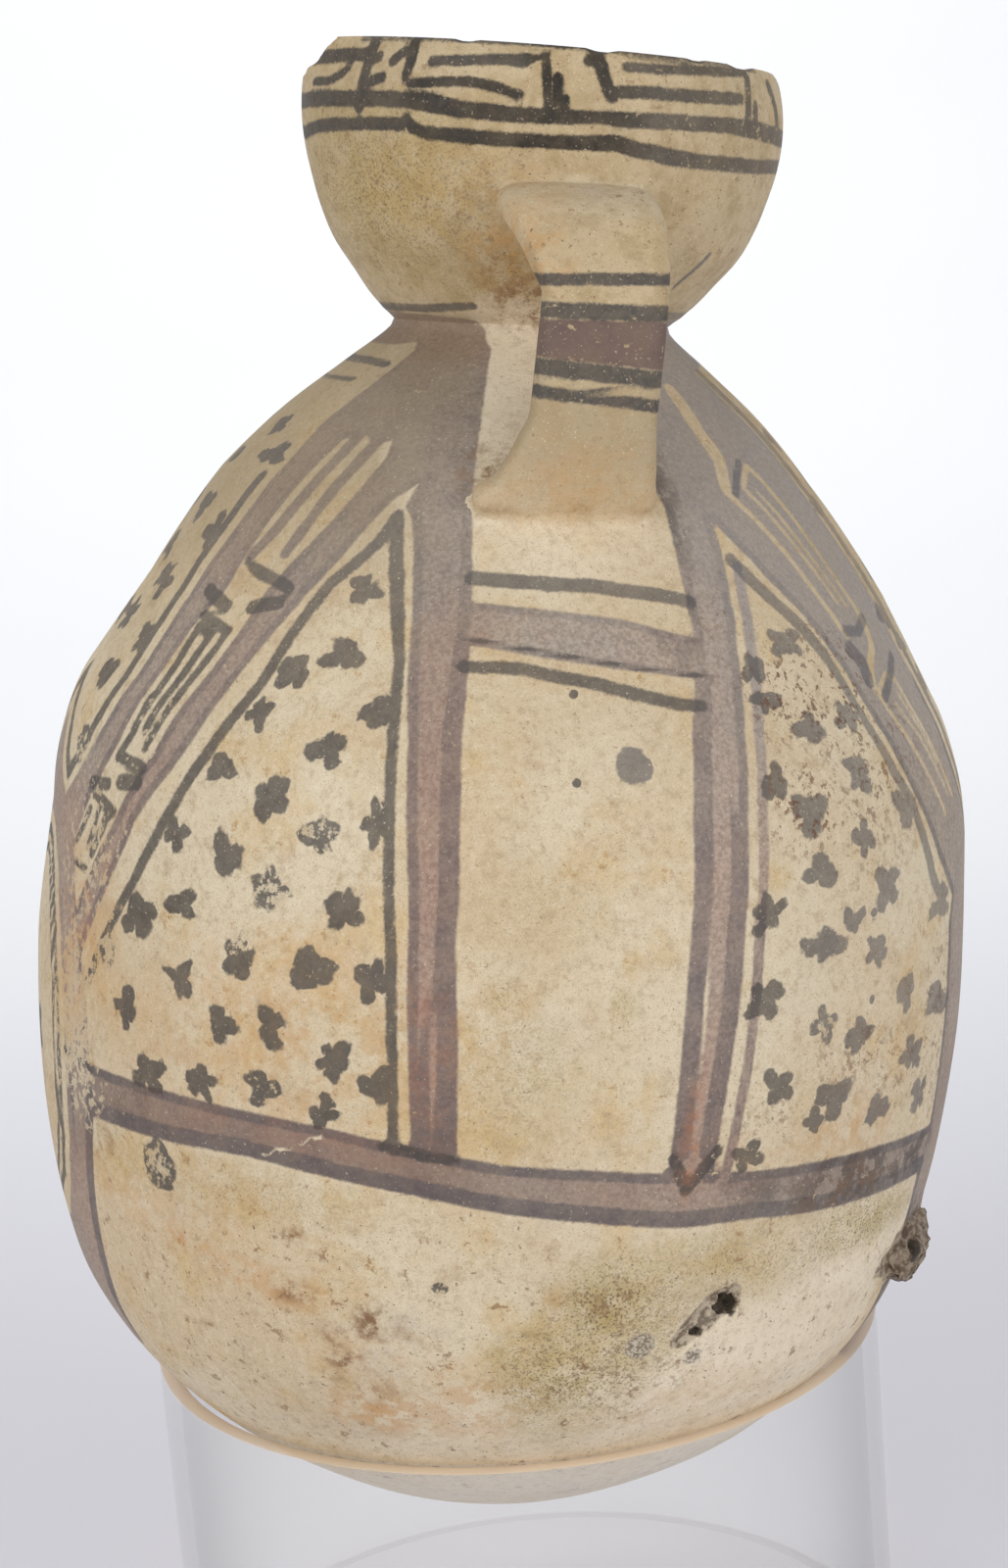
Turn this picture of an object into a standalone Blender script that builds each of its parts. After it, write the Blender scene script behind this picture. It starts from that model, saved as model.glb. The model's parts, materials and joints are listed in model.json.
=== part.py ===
# A painted clay amphora standing in a clear ring.
#
# The amphora is one hollow piece of fired clay: a deep round-bottomed body, a narrow neck,
# a wide cup-shaped mouth and two strap handles from cup to shoulder. Its round bottom can't
# stand alone, so it rests, leaning a little, in an open ring cut from clear tube.
# Metres, +Z up. The front of the amphora looks towards -Y.

import math

import bmesh
import bpy
import numpy as np
from mathutils import Matrix, Vector, noise

# The ring that carries the amphora
RING_DIAMETER = 0.2032
RING_WALL = 0.0045
RING_HEIGHT = 0.1127
RING_EDGE_BREAK = 0.0005
RING_SIDES = 64

# The turned shape, in the amphora's own upright frame, from its lowest point
BODY_DIAMETER = 0.2530
NECK_DIAMETER = 0.0740
CUP_DIAMETER = 0.1270
NECK_HEIGHT = 0.3225
CUP_HEIGHT = 0.0705
RIM_HEIGHT = NECK_HEIGHT + CUP_HEIGHT
BODY_WALL = 0.0070
CUP_WALL = 0.0056
FLOOR_WALL = 0.0090
TURNED_SIDES = 52

# What the maker's hand and the firing did to the turned shape
BODY_DEPTH_RATIO = 1.004
BELLY_OFF_CENTRE = -0.0021
CUP_OFF_CENTRE = 0.0025
RIM_TILT = math.radians(2.4)

# How it sits in the ring
LEAN_TO_RIGHT = math.radians(6.5)
LEAN_BACK = math.radians(3.5)
SEAT_OFF_CENTRE = 0.0008
REST_GAP = 0.0003

# The strap handles
HANDLE_WIDTH = 0.0310
HANDLE_THICKNESS = 0.0100
HANDLE_STANDS_OUT = 0.0290
HANDLE_TOP_ABOVE_NECK = 0.0305
HANDLE_FOOT_BELOW_NECK = 0.0380
HANDLE_LEFT_FLARE_TOP = 0.0080
HANDLE_LEFT_FLARE_FOOT = 0.0120
HANDLE_RIGHT_FLARE_TOP = 0.0030
HANDLE_RIGHT_FLARE_FOOT = 0.0050
HANDLE_TURN = math.radians(9.8)
STRAP_CORNERS = 12

# The break in the rim, and the damage low on the right. A turn is from the front to the right,
# and a rise is a share of the neck's height.
CHIP_LENGTH = 0.0640
CHIP_SLOPE = math.radians(42.0)
KNOB_WIDTH = 0.0290
KNOB_HEIGHT = 0.0215
KNOB_STANDS_OUT = 0.0062
KNOB_TURN = math.radians(70.0)
KNOB_RISE = 0.260
KNOB_HOLE_WIDTH = 0.0090
KNOB_HOLE_TURN = math.radians(68.5)
KNOB_HOLE_RISE = 0.252
SCAR_WIDTH = 0.0190
SCAR_HEIGHT = 0.0130
SCAR_DEPTH = 0.0022
SCAR_TURN = math.radians(26.5)
SCAR_RISE = 0.258
PIT_WIDTH = 0.0055
PIT_DEPTH = 0.0040
PIT_TURN = math.radians(28.8)
PIT_RISE = 0.273

# Shares of the body's radius and of the neck's height, from the lowest point up
BODY_LINE = (
    (0.000, 0.000), (0.170, 0.006), (0.330, 0.023), (0.506, 0.058), (0.620, 0.087),
    (0.722, 0.122), (0.812, 0.161), (0.885, 0.206), (0.930, 0.257), (0.962, 0.309),
    (0.983, 0.362), (0.996, 0.420), (1.000, 0.475), (0.997, 0.518), (0.989, 0.560),
    (0.980, 0.600), (0.970, 0.634), (0.948, 0.668), (0.917, 0.700), (0.860, 0.739),
    (0.796, 0.780), (0.716, 0.829), (0.622, 0.880), (0.508, 0.928), (0.385, 0.969),
)
# Shares of the cup's radius and of the height from neck to rim
CUP_LINE = (
    (0.625, 0.055), (0.690, 0.115), (0.752, 0.185), (0.849, 0.297), (0.914, 0.419),
    (0.958, 0.540), (0.984, 0.632), (0.999, 0.730), (1.000, 0.826), (0.990, 0.905),
    (0.970, 0.972),
)


def clear_scene():
    """Remove whatever the file held before."""
    for thing in list(bpy.data.objects):
        bpy.data.objects.remove(thing, do_unlink=True)


def clay_finish():
    """Cream slip over tan clay."""
    finish = bpy.data.materials.new("painted_clay")
    finish.use_nodes = True
    shader = finish.node_tree.nodes["Principled BSDF"]
    shader.inputs["Base Color"].default_value = (0.60, 0.46, 0.29, 1.0)
    shader.inputs["Roughness"].default_value = 0.72
    shader.inputs["Metallic"].default_value = 0.0
    return finish


def clear_finish():
    """Clear acrylic."""
    finish = bpy.data.materials.new("clear_acrylic")
    finish.use_nodes = True
    shader = finish.node_tree.nodes["Principled BSDF"]
    shader.inputs["Base Color"].default_value = (0.95, 0.96, 0.97, 1.0)
    shader.inputs["Roughness"].default_value = 0.05
    shader.inputs["Metallic"].default_value = 0.0
    shader.inputs["Transmission Weight"].default_value = 1.0
    shader.inputs["IOR"].default_value = 1.49
    return finish


def new_object(name, bm, finish=None):
    """Turn a bmesh into an object, smooth but for its sharp edges."""
    mesh = bpy.data.meshes.new(name)
    bm.to_mesh(mesh)
    bm.free()
    mesh.shade_smooth()
    mesh.set_sharp_from_angle(angle=math.radians(35.0))
    thing = bpy.data.objects.new(name, mesh)
    bpy.context.scene.collection.objects.link(thing)
    if finish:
        mesh.materials.append(finish)
    return thing


def smooth_line(stations, per_span):
    """A Catmull-Rom curve through the stations, with per_span steps between each two."""
    known = [Vector(p) for p in stations]
    padded = [2 * known[0] - known[1]] + known + [2 * known[-1] - known[-2]]
    line = []
    for i in range(1, len(padded) - 2):
        before, start, end, after = padded[i - 1:i + 3]
        for step in range(per_span):
            t = step / per_span
            point = 0.5 * (2 * start + (end - before) * t
                           + (2 * before - 5 * start + 4 * end - after) * t ** 2
                           + (3 * start - before - 3 * end + after) * t ** 3)
            line.append(point)
    line.append(known[-1])
    return line


def outer_line():
    """The outside from the lowest point to just under the rim, as (radius, height)."""
    body_radius = BODY_DIAMETER / 2
    cup_radius = CUP_DIAMETER / 2
    body = [(share * body_radius, up * NECK_HEIGHT) for share, up in BODY_LINE]
    neck = [(NECK_DIAMETER / 2, NECK_HEIGHT)]
    cup = [(share * cup_radius, NECK_HEIGHT + up * CUP_HEIGHT) for share, up in CUP_LINE]
    return [Vector(p) for p in body + neck + cup]


def inner_line(outside):
    """The outside moved inwards by the wall, from the rim down to the floor."""
    inside = [outside[0] + Vector((0.0, FLOOR_WALL))]
    for before, point, after in zip(outside, outside[1:], outside[2:] + outside[-1:]):
        along = (after - before).normalized()
        inward = Vector((-along.y, along.x))
        wall = CUP_WALL if point.y > NECK_HEIGHT else BODY_WALL
        moved = point + wall * inward
        if moved.x > 0.0:
            inside.append(moved)
    return inside[::-1]


def radius_at(height):
    """Outer radius of the turned shape at a height above its lowest point."""
    line = outer_line()
    return float(np.interp(height, [p.y for p in line], [p.x for p in line]))


def off_centre(height):
    """How far the turned shape's middle strays to the side at a height."""
    neck = NECK_HEIGHT
    heights = (0.0, 0.14 * neck, 0.30 * neck, 0.50 * neck, 0.60 * neck,
               0.71 * neck, 0.79 * neck, 0.88 * neck, 0.96 * neck, neck + 0.25 * CUP_HEIGHT)
    belly = BELLY_OFF_CENTRE
    strays = (0.5 * belly, belly, 0.8 * belly, 0.5 * belly, 0.0,
              0.7 * belly, 0.0, 0.6 * belly, 0.2 * CUP_OFF_CENTRE, CUP_OFF_CENTRE)
    return float(np.interp(height, heights, strays))


def hand_made(point):
    """Move a point of the perfect turned shape to where the real, uneven one has it."""
    height = point.z
    depth = float(np.interp(height, (0.75 * NECK_HEIGHT, NECK_HEIGHT), (BODY_DEPTH_RATIO, 1.0)))
    up_cup = max(0.0, height - NECK_HEIGHT) / CUP_HEIGHT
    fall = math.tan(RIM_TILT) * point.x * up_cup
    return Vector((point.x + off_centre(height), point.y * depth, height - fall))


def skin_point(turn, height, out=0.0):
    """A point on the outside, turned from the front to the right, moved out by a distance."""
    radius = radius_at(height) + out
    return hand_made(Vector((radius * math.sin(turn), -radius * math.cos(turn), height)))


def turned_vessel():
    """The hollow vessel: one line, out and back in again, spun round the axis."""
    outside = outer_line()
    lip_top = Vector((outside[-1].x - 0.4 * CUP_WALL, RIM_HEIGHT))
    line = outside + [lip_top] + inner_line(outside)
    bm = bmesh.new()
    verts = [bm.verts.new((p.x, 0.0, p.y)) for p in line]
    edges = [bm.edges.new(pair) for pair in zip(verts, verts[1:])]
    bmesh.ops.spin(bm, geom=verts + edges, cent=(0, 0, 0), axis=(0, 0, 1),
                   angle=math.tau, steps=TURNED_SIDES, use_merge=True)
    bmesh.ops.remove_doubles(bm, verts=bm.verts, dist=1e-5)
    bmesh.ops.recalc_face_normals(bm, faces=bm.faces)
    for vert in bm.verts:
        vert.co = hand_made(vert.co)
    break_rim(bm)
    return bm


def break_rim(bm):
    """Slice off the broken corner of the rim on the left."""
    rim_radius = CUP_LINE[-1][0] * CUP_DIAMETER / 2
    inset = math.sqrt(rim_radius ** 2 - (CHIP_LENGTH / 2) ** 2)
    start = Vector((CUP_OFF_CENTRE - inset, 0.0, RIM_HEIGHT + math.tan(RIM_TILT) * inset))
    off = Vector((-math.sin(CHIP_SLOPE), 0.0, math.cos(CHIP_SLOPE)))
    bmesh.ops.bisect_plane(bm, geom=bm.verts[:] + bm.edges[:] + bm.faces[:], dist=1e-6,
                           plane_co=start, plane_no=off, clear_outer=True)
    open_edges = [edge for edge in bm.edges if edge.is_boundary]
    bmesh.ops.edgeloop_fill(bm, edges=open_edges)
    bmesh.ops.triangulate(bm, faces=bm.faces)


def strap_path():
    """The strap's centre line, from inside the cup's wall to inside the shoulder."""
    top = NECK_HEIGHT + HANDLE_TOP_ABOVE_NECK
    foot = NECK_HEIGHT - HANDLE_FOOT_BELOW_NECK
    drop = top - foot
    cup = radius_at(top)
    shoulder = radius_at(foot)
    reach = cup + HANDLE_STANDS_OUT
    stations = (
        (cup - 0.5 * CUP_WALL, top + 0.025 * drop),
        (cup + 0.28 * HANDLE_STANDS_OUT, top + 0.012 * drop),
        (cup + 0.72 * HANDLE_STANDS_OUT, top - 0.10 * drop),
        (reach - 0.05 * HANDLE_STANDS_OUT, top - 0.30 * drop),
        (reach, top - 0.55 * drop),
        (reach - 0.03 * HANDLE_STANDS_OUT, top - 0.80 * drop),
        (0.5 * (reach + shoulder), foot + 0.02 * drop),
        (shoulder - 0.45 * BODY_WALL, foot - 0.07 * drop),
    )
    return smooth_line(stations, 2)


def strap_flare(height, at_top, at_foot):
    """How far an edge of the strap spreads out where it joins the cup and the shoulder."""
    top = NECK_HEIGHT + HANDLE_TOP_ABOVE_NECK
    foot = NECK_HEIGHT - HANDLE_FOOT_BELOW_NECK
    drop = top - foot
    heights = (foot, foot + 0.06 * drop, foot + 0.15 * drop, foot + 0.28 * drop,
               top - 0.27 * drop, top - 0.18 * drop, top)
    spread = (at_foot, 0.60 * at_foot, 0.32 * at_foot, 0.0, 0.0, 0.35 * at_top, at_top)
    return float(np.interp(height, heights, spread))


def strap_handle(turn):
    """A flat strap with round edges, swept down its path."""
    path = strap_path()
    bm = bmesh.new()
    loops = []
    for i, point in enumerate(path):
        along = (path[min(i + 1, len(path) - 1)] - path[max(i - 1, 0)]).normalized()
        outward = Vector((along.y, -along.x))
        left = strap_flare(point.y, HANDLE_LEFT_FLARE_TOP, HANDLE_LEFT_FLARE_FOOT)
        right = strap_flare(point.y, HANDLE_RIGHT_FLARE_TOP, HANDLE_RIGHT_FLARE_FOOT)
        loop = []
        for k in range(STRAP_CORNERS):
            angle = math.tau * k / STRAP_CORNERS
            across = math.copysign(abs(math.cos(angle)) ** 0.45, math.cos(angle))
            deep = math.copysign(abs(math.sin(angle)) ** 0.75, math.sin(angle))
            spot = point + outward * (0.5 * HANDLE_THICKNESS * deep)
            side = 0.5 * HANDLE_WIDTH * across + left * min(across, 0.0) + right * max(across, 0.0)
            loop.append(bm.verts.new((side, -spot.x, spot.y)))
        loops.append(loop)
    for loop, below in zip(loops, loops[1:]):
        for k in range(STRAP_CORNERS):
            after = (k + 1) % STRAP_CORNERS
            bm.faces.new((loop[k], loop[after], below[after], below[k]))
    bm.faces.new(loops[0])
    bm.faces.new(loops[-1])
    bmesh.ops.recalc_face_normals(bm, faces=bm.faces)
    bmesh.ops.triangulate(bm, faces=bm.faces)
    bmesh.ops.rotate(bm, verts=bm.verts, cent=(0, 0, 0), matrix=Matrix.Rotation(turn, 3, "Z"))
    for vert in bm.verts:
        vert.co.x += off_centre(vert.co.z)
    return bm


def rough_lump(size, spot, turn, grain, level):
    """A rough ball of the given width, depth and height, turned to lie on the pot's side."""
    bm = bmesh.new()
    bmesh.ops.create_icosphere(bm, subdivisions=level, radius=0.5)
    for vert in bm.verts:
        swell = 1.0 + 0.30 * noise.noise(vert.co * 3.1 + Vector((grain, 0.0, 0.0)))
        vert.co = Vector([swell * c * s for c, s in zip(vert.co, size)])
    move = Matrix.Translation(spot) @ Matrix.Rotation(turn, 4, "Z")
    bmesh.ops.transform(bm, matrix=move, verts=bm.verts)
    return bm


def add_boolean(thing, other, operation):
    """Join with another object or cut with it. From then on the other only guides."""
    step = thing.modifiers.new(other.name, "BOOLEAN")
    step.operation = operation
    step.solver = "EXACT"
    step.object = other
    other.hide_render = True
    other.display_type = "WIRE"
    other.hide_set(True)


def make_straps(amphora):
    """The handles on the front and the back."""
    straps = []
    for name, turn in (("front_strap", HANDLE_TURN), ("back_strap", HANDLE_TURN + math.pi)):
        strap = new_object(name, strap_handle(turn))
        add_boolean(amphora, strap, "UNION")
        straps.append(strap)
    return straps


def make_damage(amphora):
    """The broken knob low on the right with the hole in it, and the scar and the pit beside it."""
    knob = (KNOB_WIDTH, 2.0 * KNOB_STANDS_OUT, KNOB_HEIGHT)
    hole = (KNOB_HOLE_WIDTH, KNOB_STANDS_OUT, KNOB_HOLE_WIDTH)
    scar = (SCAR_WIDTH, 2.0 * SCAR_DEPTH, SCAR_HEIGHT)
    pit = (PIT_WIDTH, 2.0 * PIT_DEPTH, PIT_WIDTH)
    steps = (
        ("knob", knob, KNOB_TURN, KNOB_RISE, 0.0, 1.7, 2, "UNION"),
        ("knob_hole", hole, KNOB_HOLE_TURN, KNOB_HOLE_RISE, 0.9 * KNOB_STANDS_OUT, 4.2, 1, "DIFFERENCE"),
        ("scar", scar, SCAR_TURN, SCAR_RISE, 0.0, 7.5, 1, "DIFFERENCE"),
        ("pit", pit, PIT_TURN, PIT_RISE, 0.0, 9.1, 1, "DIFFERENCE"),
    )
    lumps = []
    for name, size, turn, rise, out, grain, level, operation in steps:
        spot = skin_point(turn, rise * NECK_HEIGHT, out)
        lump = new_object(name, rough_lump(size, spot, turn, grain, level))
        add_boolean(amphora, lump, operation)
        lumps.append(lump)
    return lumps


def make_ring(finish):
    """A plain open ring of clear tube, with its edges just broken."""
    outer = RING_DIAMETER / 2
    inner = outer - RING_WALL
    cut = RING_EDGE_BREAK
    top = RING_HEIGHT
    line = ((outer - cut, 0.0), (outer, cut), (outer, top - cut), (outer - cut, top),
            (inner + cut, top), (inner, top - cut), (inner, cut), (inner + cut, 0.0))
    bm = bmesh.new()
    verts = [bm.verts.new((r, 0.0, z)) for r, z in line]
    edges = [bm.edges.new(pair) for pair in zip(verts, verts[1:] + verts[:1])]
    bmesh.ops.spin(bm, geom=verts + edges, cent=(0, 0, 0), axis=(0, 0, 1),
                   angle=math.tau, steps=RING_SIDES, use_merge=True)
    bmesh.ops.remove_doubles(bm, verts=bm.verts, dist=1e-5)
    bmesh.ops.recalc_face_normals(bm, faces=bm.faces)
    return new_object("stand_tube", bm, finish)


def leaning():
    """The turn that leans the amphora to the right and back."""
    up = Vector((math.tan(LEAN_TO_RIGHT), math.tan(LEAN_BACK), 1.0)).normalized()
    across = (Vector((1.0, 0.0, 0.0)) - up.x * up).normalized()
    back = up.cross(across)
    return Matrix((across, back, up)).transposed()


def seat_in_ring(turn):
    """Where the lowest point goes, so that the leaning body just clears the ring's inner edge."""
    room = RING_DIAMETER / 2 - RING_WALL - REST_GAP
    edge = RING_HEIGHT - RING_EDGE_BREAK
    heights = np.linspace(0.01 * NECK_HEIGHT, 0.45 * NECK_HEIGHT, 120)
    angles = np.linspace(0.0, math.tau, 120, endpoint=False)
    sides = [np.array([turn @ skin_point(angle, height) for height in heights]) for angle in angles]

    def section(lift):
        """The body's outline where the ring's edge would cut it."""
        return np.array([[np.interp(edge, side[:, 2] + lift, side[:, axis]) for axis in (0, 1)]
                         for side in sides])

    low = -RING_HEIGHT
    high = RING_HEIGHT
    for _ in range(40):
        lift = 0.5 * (low + high)
        outline = section(lift)
        middle = 0.5 * (outline.max(axis=0) + outline.min(axis=0)) - (SEAT_OFF_CENTRE, 0.0)
        if np.hypot(*(outline - middle).T).max() > room:
            low = lift
        else:
            high = lift
    return Vector((-middle[0], -middle[1], high))


def middle_of_base(things):
    """The middle of the whole object's box, at its lowest level."""
    graph = bpy.context.evaluated_depsgraph_get()
    corners = [thing.matrix_world @ vert.co
               for thing in things for vert in thing.evaluated_get(graph).data.vertices]
    low = [min(corner[i] for corner in corners) for i in range(3)]
    high = [max(corner[i] for corner in corners) for i in range(3)]
    return Vector((0.5 * (low[0] + high[0]), 0.5 * (low[1] + high[1]), low[2]))


def main():
    clear_scene()
    ring = make_ring(clear_finish())
    amphora = new_object("amphora", turned_vessel(), clay_finish())
    guides = make_straps(amphora) + make_damage(amphora)
    base = bpy.data.objects.new("base", None)
    bpy.context.scene.collection.objects.link(base)
    ring.parent = base
    turn = leaning()
    seated = Matrix.Translation(seat_in_ring(turn)) @ turn.to_4x4()
    for thing in [amphora] + guides:
        thing.parent = base
        thing.matrix_local = seated
    bpy.context.view_layer.update()
    base.location = -middle_of_base([ring, amphora])
    bpy.context.view_layer.update()


main()
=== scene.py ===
# %% [markdown]
# # A painted amphora leaning in a clear ring
# The amphora is one hollow piece of fired clay under a cream slip, painted in dark grey, mauve
# and red-brown. Its round bottom can't stand, so it leans in an open ring of clear tube.
# The measured model gives every size and place. This script gives each surface its looks.

import json
import math

import bmesh
import bpy
import numpy as np
from mathutils import Matrix, Vector, noise
from mathutils.kdtree import KDTree

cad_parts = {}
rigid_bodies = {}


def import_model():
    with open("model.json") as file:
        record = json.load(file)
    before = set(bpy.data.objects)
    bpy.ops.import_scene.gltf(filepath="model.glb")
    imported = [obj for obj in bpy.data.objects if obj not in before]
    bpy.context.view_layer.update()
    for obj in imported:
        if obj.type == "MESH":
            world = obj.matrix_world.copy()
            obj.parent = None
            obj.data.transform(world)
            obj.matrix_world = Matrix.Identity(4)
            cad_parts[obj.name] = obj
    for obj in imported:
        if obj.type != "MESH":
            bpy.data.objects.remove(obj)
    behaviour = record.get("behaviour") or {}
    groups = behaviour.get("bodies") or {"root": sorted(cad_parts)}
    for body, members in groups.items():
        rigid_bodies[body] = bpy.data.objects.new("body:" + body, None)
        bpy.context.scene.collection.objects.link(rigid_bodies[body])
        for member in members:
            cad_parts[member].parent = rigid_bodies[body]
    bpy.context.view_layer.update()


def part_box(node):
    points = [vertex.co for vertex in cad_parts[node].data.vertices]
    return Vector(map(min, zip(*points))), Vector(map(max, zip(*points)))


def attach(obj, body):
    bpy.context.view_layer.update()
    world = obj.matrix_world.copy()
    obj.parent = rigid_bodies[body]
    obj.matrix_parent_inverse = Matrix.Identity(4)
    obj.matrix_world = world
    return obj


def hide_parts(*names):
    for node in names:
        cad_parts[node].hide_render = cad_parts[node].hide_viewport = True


for thing in list(bpy.data.objects):
    bpy.data.objects.remove(thing, do_unlink=True)
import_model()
ring_low, ring_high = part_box("stand_tube")
ring_centre = (ring_low + ring_high) / 2
ring_foot = Vector((ring_centre.x, ring_centre.y, ring_low.z))
print("ring stands at", ring_foot[:], "and is", ring_high.z - ring_low.z, "tall")

# %% [markdown]
# ## The camera
# The photograph was taken with a long lens from the front, a little above the rim, and its
# horizon tips by a few degrees. A real lens is turned like that: first round, then down, then
# rolled about its own view. Working out the three directions one after the other keeps each
# angle readable.

# %% Camera at the photograph's viewing angle
VIEW_TURN = math.radians(0.306)
VIEW_DOWN = math.radians(13.344)
VIEW_ROLL = math.radians(-4.635)
CAMERA_FROM_RING = Vector((0.00416, -0.8327, 0.4646))
LENS = 72.0
FILM_HEIGHT = 36.0

ahead = Vector((math.sin(VIEW_TURN) * math.cos(VIEW_DOWN),
                math.cos(VIEW_TURN) * math.cos(VIEW_DOWN), -math.sin(VIEW_DOWN)))
level = Vector((math.cos(VIEW_TURN), -math.sin(VIEW_TURN), 0.0))
upwards = level.cross(ahead)
sideways = math.cos(VIEW_ROLL) * level + math.sin(VIEW_ROLL) * upwards
overhead = math.cos(VIEW_ROLL) * upwards - math.sin(VIEW_ROLL) * level

lens = bpy.data.cameras.new("camera")
lens.sensor_fit = "VERTICAL"
lens.sensor_height = FILM_HEIGHT
lens.lens = LENS
camera = bpy.data.objects.new("camera", lens)
bpy.context.scene.collection.objects.link(camera)
camera.matrix_world = (Matrix.Translation(ring_foot + CAMERA_FROM_RING)
                       @ Matrix((sideways, overhead, -ahead)).transposed().to_4x4())
bpy.context.scene.camera = camera
print("camera at", camera.location[:])

# %% [markdown]
# ## The turned shape
# A potter builds such a vessel from coils and smooths it on a turning base, so its outside is
# one line spun round an axis. The line is written as shares of the body's radius and of the
# neck's height. A curve through those stations keeps the outline smooth with few numbers.

# %% Sizes of the turned shape
BODY_DIAMETER = 0.2530
NECK_DIAMETER = 0.0740
CUP_DIAMETER = 0.1270
NECK_HEIGHT = 0.3225
CUP_HEIGHT = 0.0705
RIM_HEIGHT = NECK_HEIGHT + CUP_HEIGHT
BODY_WALL = 0.0070
CUP_WALL = 0.0056
FLOOR_WALL = 0.0090
BODY_LINE = (
    (0.000, 0.000), (0.170, 0.006), (0.330, 0.023), (0.506, 0.058), (0.620, 0.087),
    (0.722, 0.122), (0.812, 0.161), (0.885, 0.206), (0.930, 0.257), (0.962, 0.309),
    (0.983, 0.362), (0.996, 0.420), (1.000, 0.475), (0.997, 0.518), (0.989, 0.560),
    (0.980, 0.600), (0.970, 0.634), (0.948, 0.668), (0.917, 0.700), (0.860, 0.739),
    (0.796, 0.780), (0.716, 0.829), (0.622, 0.880), (0.508, 0.928), (0.385, 0.969),
)
CUP_LINE = (
    (0.625, 0.055), (0.690, 0.115), (0.752, 0.185), (0.849, 0.297), (0.914, 0.419),
    (0.958, 0.540), (0.984, 0.632), (0.999, 0.730), (1.000, 0.826), (0.990, 0.905),
    (0.970, 0.972),
)

outside = [Vector((share * BODY_DIAMETER / 2, up * NECK_HEIGHT)) for share, up in BODY_LINE]
outside.append(Vector((NECK_DIAMETER / 2, NECK_HEIGHT)))
outside += [Vector((share * CUP_DIAMETER / 2, NECK_HEIGHT + up * CUP_HEIGHT)) for share, up in CUP_LINE]
print("outside has", len(outside), "stations")


# %% The whole section, from the lowest point over the lip to the floor inside
def inward(line):
    """The line moved inwards by the wall, read from the rim down."""
    moved = [line[0] + Vector((0.0, FLOOR_WALL))]
    for before, point, after in zip(line, line[1:], line[2:] + line[-1:]):
        along = (after - before).normalized()
        wall = CUP_WALL if point.y > NECK_HEIGHT else BODY_WALL
        place = point + wall * Vector((-along.y, along.x))
        if place.x > 0.0:
            moved.append(place)
    return moved[::-1]


def through(stations, per_span, closed_at_axis=True):
    """A smooth curve through the stations, with per_span steps between each two."""
    known = [Vector(station) for station in stations]
    ends = [2 * known[0] - known[1], 2 * known[-1] - known[-2]]
    if closed_at_axis:
        ends = [Vector((-known[1].x, known[1].y)), Vector((-known[-2].x, known[-2].y))]
    padded = ends[:1] + known + ends[1:]
    line = []
    for i in range(1, len(padded) - 2):
        before, start, end, after = padded[i - 1:i + 3]
        for step in range(per_span):
            t = step / per_span
            line.append(0.5 * (2 * start + (end - before) * t
                               + (2 * before - 5 * start + 4 * end - after) * t ** 2
                               + (3 * start - before - 3 * end + after) * t ** 3))
    line.append(known[-1])
    return line


lip = Vector((outside[-1].x - 0.4 * CUP_WALL, RIM_HEIGHT))
section = through(outside + [lip] + inward(outside), 12)
lip_row = max(range(len(section)), key=lambda i: section[i].y)
print("section has", len(section), "points, the lip is number", lip_row)

# %% [markdown]
# ## Rows where they are needed
# The paint is laid on the mesh's own points, so the painted outside gets a row every 1.3 to 2.6
# millimetres, and the bottom and the hidden inside far fewer. Walking the section by "cost", its
# length divided by the wanted pitch, spreads the rows without any list of heights.

# %% Spread the rows
ROW_PITCHES = ((0.055, 0.0042), (0.110, 0.0026), (0.180, 0.0021), (0.300, 0.0017), (0.363, 0.0021),
               (0.500, 0.0013))
PITCH_INSIDE = 0.0140
PITCH_INSIDE_CUP = 0.0045


def pitch_at(index):
    """The wanted distance between rows at a point of the section."""
    height = section[index].y
    if index > lip_row:
        return PITCH_INSIDE_CUP if height > NECK_HEIGHT else PITCH_INSIDE
    return next(pitch for top, pitch in ROW_PITCHES if height < top)


costs = [0.0]
for i in range(1, len(section)):
    costs.append(costs[-1] + (section[i] - section[i - 1]).length / pitch_at(i))
wanted = np.linspace(0.0, costs[-1], round(costs[-1]) + 1)
rows = [Vector((r, z)) for r, z in zip(np.interp(wanted, costs, [p.x for p in section]),
                                      np.interp(wanted, costs, [p.y for p in section]))]
print("the section is spun with", len(rows), "rows")

# %% [markdown]
# ## Spinning the vessel
# Spin turns the line round the upright axis and merges the last step with the first. The
# columns are then drawn together where the ornament is finest and spread out at the back.

# %% Spin it
COLUMNS = 330
COLUMN_PITCHES = ((-180, -95, 4.1), (-95, -66, 2.5), (-66, -30, 1.3), (-30, -8, 1.9), (-8, 20, 2.4),
                  (20, 38, 1.9), (38, 72, 1.3), (72, 95, 2.5), (95, 180, 4.1))


def object_from(bm, name):
    """Make an object of a bmesh, with its faces pointing out and shaded smooth."""
    bmesh.ops.remove_doubles(bm, verts=bm.verts, dist=1e-6)
    bmesh.ops.recalc_face_normals(bm, faces=bm.faces)
    mesh = bpy.data.meshes.new(name)
    bm.to_mesh(mesh)
    bm.free()
    mesh.shade_smooth()
    made = bpy.data.objects.new(name, mesh)
    bpy.context.scene.collection.objects.link(made)
    return made


def points_of(mesh):
    """The mesh's points as an array with one row each."""
    flat = np.empty(3 * len(mesh.vertices))
    mesh.vertices.foreach_get("co", flat)
    return flat.reshape(-1, 3)


def put_points(mesh, points):
    """Write the array of points back into the mesh."""
    mesh.vertices.foreach_set("co", points.ravel())
    mesh.update()


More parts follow.
